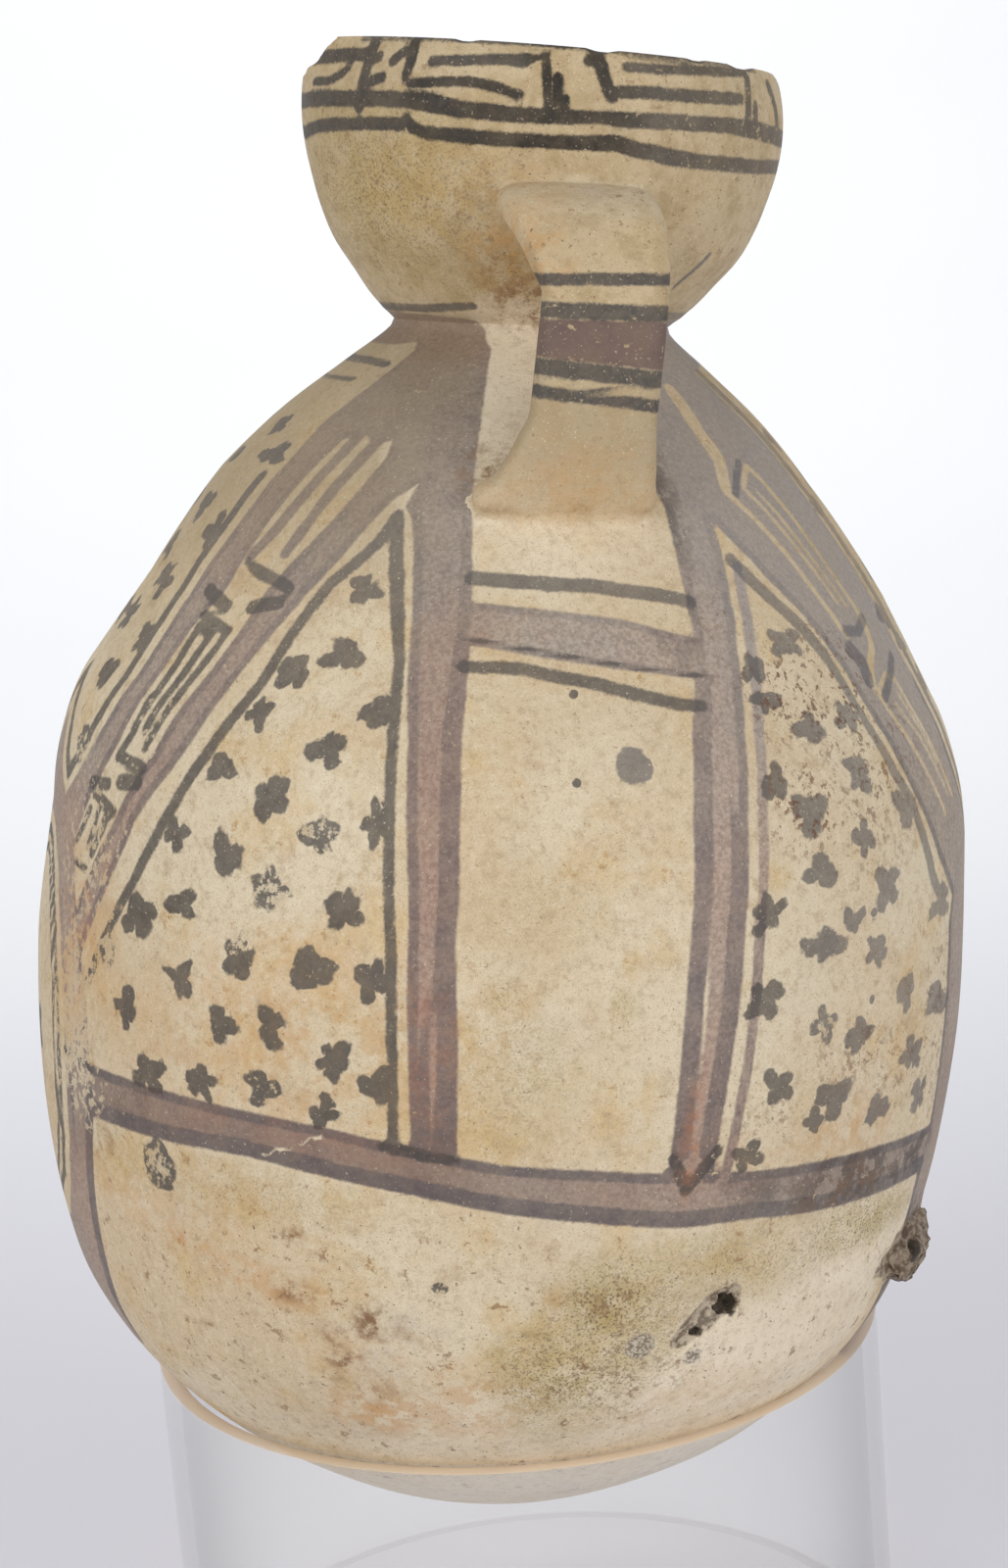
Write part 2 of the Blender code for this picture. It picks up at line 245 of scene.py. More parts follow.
bm = bmesh.new()
line = [bm.verts.new((row.x, 0.0, row.y)) for row in rows]
edges = [bm.edges.new(pair) for pair in zip(line, line[1:])]
bmesh.ops.spin(bm, geom=line + edges, cent=(0, 0, 0), axis=(0, 0, 1),
               angle=math.tau, steps=COLUMNS, use_merge=True)
vessel = object_from(bm, "vessel")
print("vessel has", len(vessel.data.polygons), "faces")

# %% [markdown]
# ## What the hand did
# No hand-built pot is true. This one's middle strays by up to 2.5 millimetres, its rim falls to
# the right, and its skin has soft dents. The measured model makes the same large moves, so the
# fine surface stays on the solid. Only the dents and the chips in the lip are added here.

# %% Hand-made moves
BODY_DEPTH_RATIO = 1.004
BELLY_OFF_CENTRE = -0.0021
CUP_OFF_CENTRE = 0.0025
RIM_TILT = math.radians(2.4)
DENT_DEPTH = 0.00035
DENT_SPREAD = 0.035
LIP_CHIPS = ((12, 4, 0.0007), (-20, 3, 0.0005), (37, 3, 0.0004), (54, 6, 0.0008), (118, 6, 0.0011),
             (-150, 4, 0.0008), (168, 6, 0.0009), (-104, 5, 0.0010))
CHIPPED_EDGE = 0.0035

fine = section[:lip_row + 1]
fine_heights = np.array([p.y for p in fine])
fine_radii = np.array([p.x for p in fine])


def radius_at(height):
    """Outer radius of the turned shape at a height, or at many."""
    return np.interp(height, fine_heights, fine_radii)


def off_centre(height):
    """How far the middle strays to the right at a height."""
    neck = NECK_HEIGHT
    belly = BELLY_OFF_CENTRE
    heights = (0.0, 0.14 * neck, 0.30 * neck, 0.50 * neck, 0.60 * neck,
               0.71 * neck, 0.79 * neck, 0.88 * neck, 0.96 * neck, neck + 0.25 * CUP_HEIGHT)
    strays = (0.5 * belly, belly, 0.8 * belly, 0.5 * belly, 0.0,
              0.7 * belly, 0.0, 0.6 * belly, 0.2 * CUP_OFF_CENTRE, CUP_OFF_CENTRE)
    return np.interp(height, heights, strays)


def depth_at(height):
    """How much deeper than wide the body is at a height."""
    return np.interp(height, (0.75 * NECK_HEIGHT, NECK_HEIGHT), (BODY_DEPTH_RATIO, 1.0))


def hand_made(points):
    """Move points of the true turned shape to where the uneven one has them."""
    x, y, height = points.T
    fall = math.tan(RIM_TILT) * x * np.clip((height - NECK_HEIGHT) / CUP_HEIGHT, 0.0, None)
    return np.stack((x + off_centre(height), y * depth_at(height), height - fall), axis=1)


points = points_of(vessel.data)
angles = np.arctan2(points[:, 0], -points[:, 1])
needed = np.cumsum([0.0] + [(end - start) / pitch for start, end, pitch in COLUMN_PITCHES])
angles = np.radians(np.interp((angles + math.pi) / math.tau * needed[-1], needed,
                              [COLUMN_PITCHES[0][0]] + [end for _, end, _ in COLUMN_PITCHES]))
radii = np.hypot(points[:, 0], points[:, 1])
dents = np.array([noise.noise(Vector(p) / DENT_SPREAD) for p in points])
radii = np.maximum(radii + DENT_DEPTH * dents * (radii > BODY_WALL), 0.0)
points = np.stack((radii * np.sin(angles), -radii * np.cos(angles), points[:, 2]), axis=1)
near_lip = np.clip(1.0 - (RIM_HEIGHT - points[:, 2]) / CHIPPED_EDGE, 0.0, 1.0)
for turn, reach, bite in LIP_CHIPS:
    aside = np.abs(np.degrees(angles) - turn) / reach
    points[:, 2] -= bite * near_lip * np.clip(1.5 - 1.5 * aside, 0.0, 1.0)
put_points(vessel.data, hand_made(points))
print("dents up to", round(1000 * DENT_DEPTH * np.abs(dents).max(), 2), "mm")

# %% [markdown]
# ## The strap handles
# Each handle is a flat strap of clay, pressed onto the cup at the top and onto the shoulder at
# the foot, where the potter smeared its left edge wide. A loop of points is carried down a curved
# path and neighbouring loops are bridged, which gives a closed strap with rounded edges. Noise
# given as a vector starts at random, so it gets a seed and each run makes the same dents.

# %% The path of a strap
HANDLE_WIDTH = 0.0310
HANDLE_THICKNESS = 0.0100
HANDLE_STANDS_OUT = 0.0290
HANDLE_TOP = NECK_HEIGHT + 0.0305
HANDLE_FOOT = NECK_HEIGHT - 0.0380
HANDLE_LEFT_FLARE = (0.0076, 0.0110)
HANDLE_RIGHT_FLARE = (0.0005, 0.0035)
HANDLE_TURN = math.radians(9.8)
STRAP_CORNERS = 36
STRAP_SQUARE = 0.40
STRAP_ROUND = 0.60
STRAP_DENT_SPREAD = 0.012
DENT_SEED = 7


def strap_path():
    """The strap's centre line, from inside the cup's wall to inside the shoulder."""
    drop = HANDLE_TOP - HANDLE_FOOT
    cup = float(radius_at(HANDLE_TOP))
    shoulder = float(radius_at(HANDLE_FOOT))
    out = HANDLE_STANDS_OUT
    reach = cup + out
    stations = (
        (cup - 0.5 * CUP_WALL, HANDLE_TOP + 0.025 * drop),
        (cup + 0.28 * out, HANDLE_TOP + 0.012 * drop),
        (cup + 0.72 * out, HANDLE_TOP - 0.10 * drop),
        (reach - 0.05 * out, HANDLE_TOP - 0.30 * drop),
        (reach, HANDLE_TOP - 0.55 * drop),
        (reach - 0.03 * out, HANDLE_TOP - 0.80 * drop),
        (0.5 * (reach + shoulder), HANDLE_FOOT + 0.02 * drop),
        (shoulder - 0.45 * BODY_WALL, HANDLE_FOOT - 0.07 * drop),
    )
    return through(stations, 10, closed_at_axis=False)


print("a strap is carried past", len(strap_path()), "points")


# %% Build the straps
def strap_flare(height, flare):
    """How far an edge of the strap spreads out at a height, given its flare at top and foot."""
    drop = HANDLE_TOP - HANDLE_FOOT
    at_top, at_foot = flare
    heights = (HANDLE_FOOT, HANDLE_FOOT + 0.06 * drop, HANDLE_FOOT + 0.15 * drop,
               HANDLE_FOOT + 0.28 * drop, HANDLE_TOP - 0.27 * drop, HANDLE_TOP - 0.18 * drop, HANDLE_TOP)
    spread = (at_foot, 0.60 * at_foot, 0.32 * at_foot, 0.0, 0.0, 0.42 * at_top, at_top)
    return float(np.interp(height, heights, spread))


def make_strap(name, turn):
    """Sweep the strap's rounded section down its path."""
    path = strap_path()
    bm = bmesh.new()
    rings = []
    for i, point in enumerate(path):
        along = (path[min(i + 1, len(path) - 1)] - path[max(i - 1, 0)]).normalized()
        outward = Vector((along.y, -along.x))
        left = strap_flare(point.y, HANDLE_LEFT_FLARE)
        right = strap_flare(point.y, HANDLE_RIGHT_FLARE)
        ring = []
        for k in range(STRAP_CORNERS):
            angle = math.tau * (k + 0.5) / STRAP_CORNERS
            across = math.copysign(abs(math.cos(angle)) ** STRAP_SQUARE, math.cos(angle))
            deep = math.copysign(abs(math.sin(angle)) ** STRAP_ROUND, math.sin(angle))
            spot = point + outward * (0.5 * HANDLE_THICKNESS * deep)
            side = 0.5 * HANDLE_WIDTH * across + left * min(across, 0.0) + right * max(across, 0.0)
            corner = Vector((side, -spot.x, spot.y))
            ring.append(bm.verts.new(corner + DENT_DEPTH * noise.noise_vector(corner / STRAP_DENT_SPREAD)))
        rings.append([bm.edges.new((ring[k - 1], ring[k])) for k in range(STRAP_CORNERS)])
        if i in (0, len(path) - 1):
            bm.faces.new(ring)
    for ring, below in zip(rings, rings[1:]):
        bmesh.ops.bridge_loops(bm, edges=ring + below)
    bmesh.ops.rotate(bm, verts=bm.verts, cent=(0, 0, 0), matrix=Matrix.Rotation(turn, 3, "Z"))
    for vert in bm.verts:
        vert.co.x += float(off_centre(vert.co.z))
    return object_from(bm, name)


noise.seed_set(DENT_SEED)
front_strap = make_strap("front_strap", HANDLE_TURN)
back_strap = make_strap("back_strap", HANDLE_TURN + math.pi)
print("each strap has", len(front_strap.data.polygons), "faces")

# %% [markdown]
# ## Damage
# The rim is broken off on the left, a broken knob with a dark hole sits low on the right, and
# beside it the slip has burst into a pit. Rough balls and a rough block, made by pushing the
# points of a plain shape about with noise, are joined to the vessel or cut out of it.

# %% Where the damage is
CHIP_LENGTH = 0.0640
CHIP_SLOPE = math.radians(42.0)
CHIP_ROUGH = 0.0009
CHIP_GRAIN = 0.006
CHIP_BLOCK = (0.060, 0.110, 0.030)
BALL_SWELLS = ((3.1, 0.30), (11.0, 0.10))
KNOB_TURN = math.radians(70.0)
KNOB_RISE = 0.260
KNOB_SIZE = (0.0270, 0.0112, 0.0200)
KNOB_HOLE_TURN = math.radians(68.0)
KNOB_HOLE_RISE = 0.250
KNOB_HOLE_SIZE = (0.0060, 0.0090, 0.0085)
KNOB_STANDS_OUT = 0.0062
PIT_TURN = math.radians(28.7)
PIT_RISE = 0.2705
PIT_SIZE = (0.0068, 0.0110, 0.0062)
SMALL_PIT_TURN = math.radians(25.3)
SMALL_PIT_RISE = 0.249
SMALL_PIT_SIZE = (0.0036, 0.0060, 0.0024)


def skin_point(turn, height, out=0.0):
    """A point on the outside, turned from the front to the right, moved out by a distance."""
    radius = float(radius_at(height)) + out
    true = np.array([[radius * math.sin(turn), -radius * math.cos(turn), height]])
    return Vector(hand_made(true)[0])


print("the knob sits at", skin_point(KNOB_TURN, KNOB_RISE * NECK_HEIGHT)[:])


# %% Rough balls and a rough block
def rough_ball(name, size, spot, turn, grain):
    """A ball of the given width, depth and height with a rough skin; grain picks its own noise."""
    bm = bmesh.new()
    bmesh.ops.create_icosphere(bm, subdivisions=4, radius=0.5)
    for vert in bm.verts:
        seed = Vector((grain, 0.0, 0.0))
        swell = 1.0 + sum(share * noise.noise(vert.co * often + seed) for often, share in BALL_SWELLS)
        vert.co = Vector([swell * c * s for c, s in zip(vert.co, size)])
    move = Matrix.Translation(spot) @ Matrix.Rotation(turn, 4, "Z")
    bmesh.ops.transform(bm, matrix=move, verts=bm.verts)
    return object_from(bm, name)


def rough_block(name):
    """A block whose lower face is a rough break, laid over the missing part of the rim."""
    bm = bmesh.new()
    bmesh.ops.create_grid(bm, x_segments=44, y_segments=60, size=0.5)
    for vert in bm.verts:
        vert.co.x *= CHIP_BLOCK[0]
        vert.co.y *= CHIP_BLOCK[1]
    lower = list(bm.verts)
    lifted = bmesh.ops.extrude_face_region(bm, geom=list(bm.faces))
    top = [part for part in lifted["geom"] if isinstance(part, bmesh.types.BMVert)]
    bmesh.ops.translate(bm, verts=top, vec=(0.0, 0.0, CHIP_BLOCK[2]))
    for vert in lower:
        vert.co.z = CHIP_ROUGH * noise.fractal(vert.co / CHIP_GRAIN, 0.8, 2.0, 4)
    reach = math.sqrt((CUP_LINE[-1][0] * CUP_DIAMETER / 2) ** 2 - (CHIP_LENGTH / 2) ** 2)
    start = Vector((CUP_OFF_CENTRE - reach, 0.0, RIM_HEIGHT + math.tan(RIM_TILT) * reach))
    move = Matrix.Translation(start) @ Matrix.Rotation(-CHIP_SLOPE, 4, "Y")
    bmesh.ops.transform(bm, matrix=move, verts=bm.verts)
    return object_from(bm, name)


additions = [
    front_strap, back_strap,
    rough_ball("knob", KNOB_SIZE, skin_point(KNOB_TURN, KNOB_RISE * NECK_HEIGHT), KNOB_TURN, 1.7),
]
hole_spot = skin_point(KNOB_HOLE_TURN, KNOB_HOLE_RISE * NECK_HEIGHT, KNOB_STANDS_OUT)
pit_spot = skin_point(PIT_TURN, PIT_RISE * NECK_HEIGHT)
small_pit_spot = skin_point(SMALL_PIT_TURN, SMALL_PIT_RISE * NECK_HEIGHT)
cuts = [
    rough_ball("knob_hole", KNOB_HOLE_SIZE, hole_spot, KNOB_HOLE_TURN, 4.2),
    rough_ball("pit", PIT_SIZE, pit_spot, PIT_TURN, 9.1),
    rough_ball("small_pit", SMALL_PIT_SIZE, small_pit_spot, SMALL_PIT_TURN, 3.3),
    rough_block("break"),
]
print(len(additions), "pieces to join and", len(cuts), "to cut out")

# %% [markdown]
# ## One body of clay
# An exact Boolean joins the straps and the knob to the wall and cuts the break and the pits.
# The helpers are then deleted, so that what is left is a single closed skin.


# %% Join and cut
def apply_boolean(thing, others, operation):
    """Join with other objects or cut with them, and keep only the result."""
    for other in others:
        step = thing.modifiers.new(other.name, "BOOLEAN")
        step.operation = operation
        step.solver = "EXACT"
        step.object = other
    graph = bpy.context.evaluated_depsgraph_get()
    mesh = bpy.data.meshes.new_from_object(thing.evaluated_get(graph))
    thing.modifiers.clear()
    thing.data = mesh
    for other in others:
        bpy.data.objects.remove(other, do_unlink=True)


apply_boolean(vessel, additions, "UNION")
apply_boolean(vessel, cuts, "DIFFERENCE")
print("amphora now has", len(vessel.data.vertices), "points")


# %% Where each point lies on the pot
def on_the_skin(points):
    """Turn from the front in degrees, height in millimetres, and millimetres out from the skin."""
    x, y, z = points.T
    height = z.copy()
    for _ in range(3):
        share = np.clip((height - NECK_HEIGHT) / CUP_HEIGHT, 0.0, None)
        height = z + math.tan(RIM_TILT) * (x - off_centre(height)) * share
    across = x - off_centre(height)
    deep = y / depth_at(height)
    out = np.hypot(across, deep) - radius_at(height)
    return np.degrees(np.arctan2(across, -deep)), 1000.0 * height, 1000.0 * out


print("the straps stand out", round(on_the_skin(points_of(vessel.data))[2].max(), 1), "mm from the skin")

# %% [markdown]
# ## Softening the joins
# Wet clay leaves no knife-sharp corner where a strap meets the wall. The points close to such a
# corner are smoothed a few times, which leaves a small rounded fillet.

# %% Fillets
FILLET_SPREAD = 0.0065
WIDER_AT_FOOT = 0.9
FOOT_JOIN = (255.0, 302.0)
TOP_JOIN = (338.0, 372.0)
STRAP_ZONE = (252.0, 376.0)
JOIN_REACH = 2.2
SOFT_REACH = 5.0
SHARP_CORNER = 0.45
SMOOTHINGS = 40
NO_LENGTH = 2e-5


def within(values, zone):
    """True between the two ends of a zone."""
    return (values > zone[0]) & (values < zone[1])


bm = bmesh.new()
bm.from_mesh(vessel.data)
bmesh.ops.remove_doubles(bm, verts=bm.verts, dist=NO_LENGTH)
bmesh.ops.dissolve_degenerate(bm, edges=bm.edges, dist=NO_LENGTH)
turns, heights, outs = on_the_skin(np.array([v.co[:] for v in bm.verts]))
at_foot = within(heights, FOOT_JOIN)
near_join = (np.abs(outs) < JOIN_REACH) & (at_foot | within(heights, TOP_JOIN))
near_strap = (np.abs(outs) < SOFT_REACH) & within(heights, STRAP_ZONE)
hinged = [edge for edge in bm.edges if edge.is_manifold and abs(edge.calc_face_angle(0.0)) > SHARP_CORNER]
corner = {vert.index for edge in hinged for vert in edge.verts if near_join[vert.index]}
bm.verts.ensure_lookup_table()
tree = KDTree(len(corner))
for i in corner:
    tree.insert(bm.verts[i].co, i)
tree.balance()
soft = [vert for vert in bm.verts if near_strap[vert.index]
        and tree.find(vert.co)[2] < FILLET_SPREAD * (1.0 + WIDER_AT_FOOT * at_foot[vert.index])]
for _ in range(SMOOTHINGS):
    bmesh.ops.smooth_vert(bm, verts=soft, factor=0.5, use_axis_x=True, use_axis_y=True, use_axis_z=True)
bmesh.ops.recalc_face_normals(bm, faces=bm.faces)
bmesh.ops.triangulate(bm, faces=[face for face in bm.faces if len(face.verts) > 4])
bm.to_mesh(vessel.data)
bm.free()
print(len(soft), "points softened")

# %% [markdown]
# ## Painting with strokes
# The painter worked with a brush on the turned surface, so every stroke is written as places on
# it: degrees round from the front and millimetres up from the lowest point. Each point of the
# mesh learns its distance to the nearest stroke's edge, below zero inside the paint. A distance
# passes smoothly from point to point, so edges stay crisp between them. The back repeats the
# front's ornament, mirrored and squeezed a little to close the round.

# %% Measure along the skin
FAR = 99.0
LEFT_TURN = -80.0
RIGHT_TURN = 88.0
BACK_PANEL = (152.0, 204.0)
BACK_PANEL_SHOWS = (24.0, -4.0)
BRUSH_SPREAD = 0.35
STRAP_CLEAR = 1.2
STRAP_LOWEST = 262.0

place = points_of(vessel.data)
turns, heights, outs = on_the_skin(place)
on_handle = (outs > STRAP_CLEAR) & (heights > STRAP_LOWEST)
turns_round = np.where(turns < LEFT_TURN, turns + 360.0, turns)
ornament_turns = np.interp(turns_round, (LEFT_TURN, RIGHT_TURN, *BACK_PANEL, 360.0 + LEFT_TURN),
                           (LEFT_TURN, RIGHT_TURN, *BACK_PANEL_SHOWS, LEFT_TURN))
steps = np.hypot(np.diff(fine_heights), np.diff(fine_radii))
climb = 1000.0 * np.concatenate(([0.0], np.cumsum(steps)))


def climbed(height):
    """Millimetres from the lowest point along the skin up to a height."""
    return np.interp(height, 1000.0 * fine_heights, climb)


def mm_per_degree(height):
    """Millimetres that one degree round the pot is long at a height."""
    return math.radians(1000.0) * radius_at(height / 1000.0)


climbs = climbed(heights)
print("there are", round(climb[-1]), "mm of skin from the lowest point to the lip")


# %% Strokes, areas and blots
def stroke(line, width=0.0, where=None):
    """Distance to the edge of a stroke of that width; a third number is the width at a point."""
    round_turns = ornament_turns if where is None else where
    nearest = np.full(len(heights), FAR)
    for start, end in zip(line, line[1:]):
        wide_degree = mm_per_degree((start[1] + end[1]) / 2)
        x, y = (round_turns - start[0]) * wide_degree, climbs - climbed(start[1])
        run, rise = (end[0] - start[0]) * wide_degree, climbed(end[1]) - climbed(start[1])
        share = np.clip((x * run + y * rise) / (run * run + rise * rise), 0.0, 1.0)
        wide = (start[2] if len(start) > 2 else width) * (1.0 - share)
        wide = wide + (end[2] if len(end) > 2 else width) * share
        nearest = np.minimum(nearest, np.hypot(x - share * run, y - share * rise) - wide / 2)
    return nearest


def brushed(table):
    """Distances to the strokes of a table, each with the width that it is given there."""
    return [stroke(line, width + BRUSH_SPREAD) for width, line in table]


def area(outline):
    """Distance to the outline of an area, below zero inside it."""
    closed = outline + outline[:1]
    inside = np.zeros(len(heights), dtype=bool)
    for (t0, h0), (t1, h1) in zip(closed, closed[1:]):
        if h0 != h1:
            crosses = (h0 > heights) != (h1 > heights)
            inside ^= crosses & (ornament_turns < t0 + (t1 - t0) * (heights - h0) / (h1 - h0))
    return np.where(inside, -1.0, 1.0) * stroke(closed)


def union(*parts):
    """Distance to whichever part is nearest."""
    return np.minimum.reduce(parts)


def cloud(turn, height, wide, tall):
    """A soft blot, one in the middle and nothing beyond its width and height in millimetres."""
    x = (ornament_turns - turn) * mm_per_degree(height)
    share = np.hypot(x / wide, (heights - height) / tall)
    return np.clip(1.0 - share, 0.0, 1.0) ** 0.5 * (share < 1.0)


widest = 1000.0 * fine_heights[fine_radii.argmax()]
print("at the widest place one degree is", round(float(mm_per_degree(widest)), 2), "mm long")

# %% [markdown]
# ## The flaked scar
# Beside the pit the slip has flaked off in a shallow, slanting scar, and a crust of lime sits next
# to it. The same strokes that place paint can place damage: inside the scar the skin is pushed
# in, and under the crust it is lifted, both roughly.

# %% Scar and crust
SCAR = [(23, 78.6, 5), (25, 82.3, 8), (26.8, 86.4, 9), (28.4, 88.6, 9), (29.4, 90.8, 5)]
CRUST = [(17.6, 78.3, 7.4), (18, 78.5, 7.4)]
PALE_CRUST = [(25.2, 73.5, 4.6), (25.8, 73.7, 4.6)]
PIT_MARK = [(28.5, 88.6, 3.4), (29.1, 86, 1.8), (29.9, 84.2, 1.6)]
SMALL_PIT_MARK = [(25.2, 80.8, 2.4), (25.6, 80.4, 2.2)]
KNOB_MARK = [(60, 82.5, 6), (65, 84.5, 17), (73, 85, 19)]
KNOB_SLOT_MARK = [(66.4, 86, 3.2), (65.8, 82.5, 2.4)]
SCAR_DEPTH = 0.0017
SCAR_GRAIN = 0.0030
CRUST_HEIGHT = 0.0006
KNOB_CRUMBLE = 0.0006
KNOB_GRAIN = 0.0035
HOLLOW_REACH = 4.0
HOLLOW_LIP = 1.2
SKIN_REACH = 1.5
KNOB_BED = 3.0

scar, crust, pale_crust, knob, pit, small_pit, knob_slot = [
    stroke(mark, where=turns)
    for mark in (SCAR, CRUST, PALE_CRUST, KNOB_MARK, PIT_MARK, SMALL_PIT_MARK, KNOB_SLOT_MARK)
]
crust = union(crust, pale_crust)
# Inside the pits and the knob's hole, from a little below the skin, the clay is painted near black, a painted
# shade in the recesses.
hollow = union(pit, small_pit, knob_slot)
hollow = np.where(hollow < HOLLOW_REACH, np.minimum(hollow, outs + HOLLOW_LIP), hollow)
flaked = (np.abs(outs) < SKIN_REACH) & (union(scar, crust) < 0.0)
crumbled = (knob < 0.0) & (outs > -KNOB_BED)
for i in np.flatnonzero(flaked | crumbled):
    rough = 0.75 + 0.9 * noise.noise(Vector(place[i]) / SCAR_GRAIN)
    push = SCAR_DEPTH * min(1.0, -0.6 * scar[i]) if scar[i] < 0.0 else -CRUST_HEIGHT
    if knob[i] < 0.0:
        push = KNOB_CRUMBLE
        rough = 2.0 * noise.fractal(Vector(place[i]) / KNOB_GRAIN, 0.6, 2.0, 3)
    place[i] += np.array(Vector((-place[i][0], -place[i][1], 0.0)).normalized()) * push * rough
scar = union(scar, np.where(outs > -KNOB_BED - 1.0, knob, FAR))
put_points(vessel.data, place)
vessel.data.shade_smooth()
vessel.data.set_sharp_from_angle(angle=math.radians(40.0))
print("scar covers", int((scar < 0.0).sum()), "points")

# %% [markdown]
# ## The washed areas
# A thin mauve wash covers the shoulder and runs down in bands round the cream fields. I fill the
# two flanks and take the fields out of them, much as the painter left them free. The band round
# the belly ties them together.

# %% Wash and the fields left free
FLANK_LEFT = [
    (-24.4, 325), (-20, 322.6), (-17.8, 320), (-14.6, 318), (-12, 308), (-10.7, 300), (-9.6, 290),
    (-8.7, 280), (-7.9, 262), (-7.1, 245), (-6.6, 228), (-6.6, 180), (-5.7, 160), (-5.2, 122),
    (-30, 128), (-56, 128), (-58.5, 100), (-60, 80), (-62, 52), (-95, 52), (-95, 326), (-45, 325.6),
]
FLANK_RIGHT = [
    (20, 326), (22, 300), (26, 282), (25.5, 276), (24.4, 260), (24.1, 250), (23, 240), (21.6, 230),
    (20, 210), (19.6, 190), (19.1, 160), (18.7, 135), (18.3, 120), (64, 115), (65, 60), (68, 50),
    (95, 50), (95, 326),
]
BELLY_BAND = [
    (-58, 135), (-40, 135.3), (-30, 135), (-20, 134), (-10, 131), (0, 127.8), (10, 126.5), (20, 124.5),
    (30, 123.2), (50, 122), (68, 119.5), (68, 107.5), (50, 108.5), (40, 109), (30, 110.5), (20, 110.5),
    (10, 113), (0, 115.5), (-10, 119), (-20, 121.5), (-30, 123.5), (-40, 122.5), (-58, 121),
]
STARS_LEFT = [
    (-19.4, 285.5), (-23.6, 281), (-27.2, 273.5), (-30.6, 265), (-33.7, 257.8), (-36, 250.5),
    (-37.9, 243.3), (-39.8, 234.2), (-41.8, 224), (-44.4, 215), (-47.2, 207.8), (-50.3, 199.6),
    (-52.6, 190.5), (-54.8, 181.5), (-56.7, 174), (-59.4, 162.4), (-57.5, 152), (-56.5, 130),
    (-30, 130), (-10.3, 128), (-10.9, 150), (-12.4, 200), (-13.1, 228), (-15, 243), (-16.6, 260),
    (-17.7, 270), (-19.1, 277.5), (-20.8, 280),
]
STARS_RIGHT = [
    (34.6, 278.5), (39.4, 268.8), (41.7, 263), (44.4, 258), (47.1, 251.5), (49.8, 243), (51.7, 234.6),
    (54.7, 220), (56.6, 211.8), (59.2, 202.7), (62, 193), (65, 186.4), (67.5, 181), (66, 174),
    (66, 118), (24, 118), (24.4, 135), (25.1, 150), (25.8, 165), (26.3, 190), (27, 210), (29, 230),
    (30.1, 240), (30.9, 250), (32.4, 261), (34.2, 272),
]
KEYS_LEFT = [
    (-44.6, 284), (-43, 290), (-41.5, 294.5), (-39, 295), (-36, 296), (-32, 294), (-29, 295),
    (-28.4, 291), (-30.4, 284), (-33.9, 275), (-38, 266), (-41.4, 257), (-42.5, 248), (-44, 239),
    (-46, 229.6), (-48.4, 218), (-51.5, 209), (-54.3, 199.6), (-57.6, 190.5), (-60, 181.5),
    (-62.2, 173), (-65, 190.5), (-62.2, 199.6), (-59, 209), (-56.5, 218), (-54.5, 229.6),
    (-53.5, 239), (-52.5, 248), (-49.8, 257), (-49, 266), (-47.2, 275),
]
SIDE_LEFT = [
    (-43.5, 317), (-51.9, 298), (-52.3, 288.7), (-53.8, 279.6), (-55.4, 270.5), (-57.3, 261.5),
    (-58.3, 252.4), (-58.6, 243.3), (-58.9, 234), (-61.1, 222.4), (-64, 213.3), (-67, 205.5),
    (-70.6, 199.5), (-74.4, 205), (-79, 217), (-95, 260), (-95, 318),
]
SIDE_RIGHT = [
    (64, 313), (65, 305), (67.6, 296), (69, 287.5), (69.4, 280), (69.6, 273), (70.4, 264.7),
    (70.6, 255.6), (71, 246.5), (71.8, 240), (73, 236), (73.8, 228), (74.6, 217), (76.6, 206), (80, 198),
    (84, 206), (95, 240), (95, 316),
]
LOW_LEFT = [
    (-80, 192), (-75.6, 190), (-70.4, 181), (-66.4, 166), (-64.3, 151), (-63.9, 130), (-64.8, 110),
    (-67.4, 96), (-73, 84), (-80, 80),
]
LOW_RIGHT = [(90, 192), (86, 181), (82, 166), (80, 150), (80, 130), (81, 110), (84, 96), (90, 84)]
PALE_STROKES = [
    (4.6, [(43.2, 309), (43, 300), (44.2, 292.5), (41.8, 286, 3.6)]),
    (2.0, [(41.3, 285), (44.6, 279.6), (48.6, 270), (51, 261), (53.2, 252.5), (54.4, 249)]),
    (1.6, [(47, 285.6), (49.2, 281), (51.6, 274), (54.2, 265), (56, 257)]),
    (1.9, [(47, 285.6), (50, 289), (52.3, 290.4), (54.6, 286.5), (57, 278), (58.6, 269.5), (60, 260),
           (61.4, 251, 2.6), (60.6, 246, 3), (57.8, 242.6, 3), (55.8, 237.5, 2.6), (57, 232.5),
           (59, 226), (61.4, 218), (64, 209.5), (66, 203)]),
    (1.5, [(50.4, 284.7), (52.6, 279), (55, 270.5), (57, 262), (58.2, 256)]),
    (1.8, [(57.2, 236.2), (61, 239), (63.6, 237.4), (65.2, 230), (66.8, 221), (69, 212), (70.6, 206)]),
    (1.5, [(60.4, 232), (62.8, 225.5), (65.6, 216), (68.4, 207)]),
    (1.5, [(62.6, 234), (64.6, 226), (67, 216.5)]),
    (2.2, [(-95, 317), (-56, 317), (-47, 318)]),
    (1.2, [(22, 188), (22, 178), (21.6, 168), (21.2, 150)]),
]
print(len(PALE_STROKES), "pale strokes are left free in the wash")

# %% Lay the wash
FRONT_TURN = 95.0

fields = [area(outline) for outline in (STARS_LEFT, STARS_RIGHT, KEYS_LEFT, SIDE_LEFT, SIDE_RIGHT,
                                        LOW_LEFT, LOW_RIGHT)]
pales = [stroke(line, width) for width, line in PALE_STROKES]
wash = np.maximum(union(area(FLANK_LEFT), area(FLANK_RIGHT)), -union(*fields))
wash = union(wash, area(BELLY_BAND))
in_front = np.abs(turns) < FRONT_TURN
edging = wash.copy()
wash = np.maximum(wash, np.where(in_front, -union(*pales), -FAR))
print("washed points:", int((wash < 0).sum()), "of", len(wash))

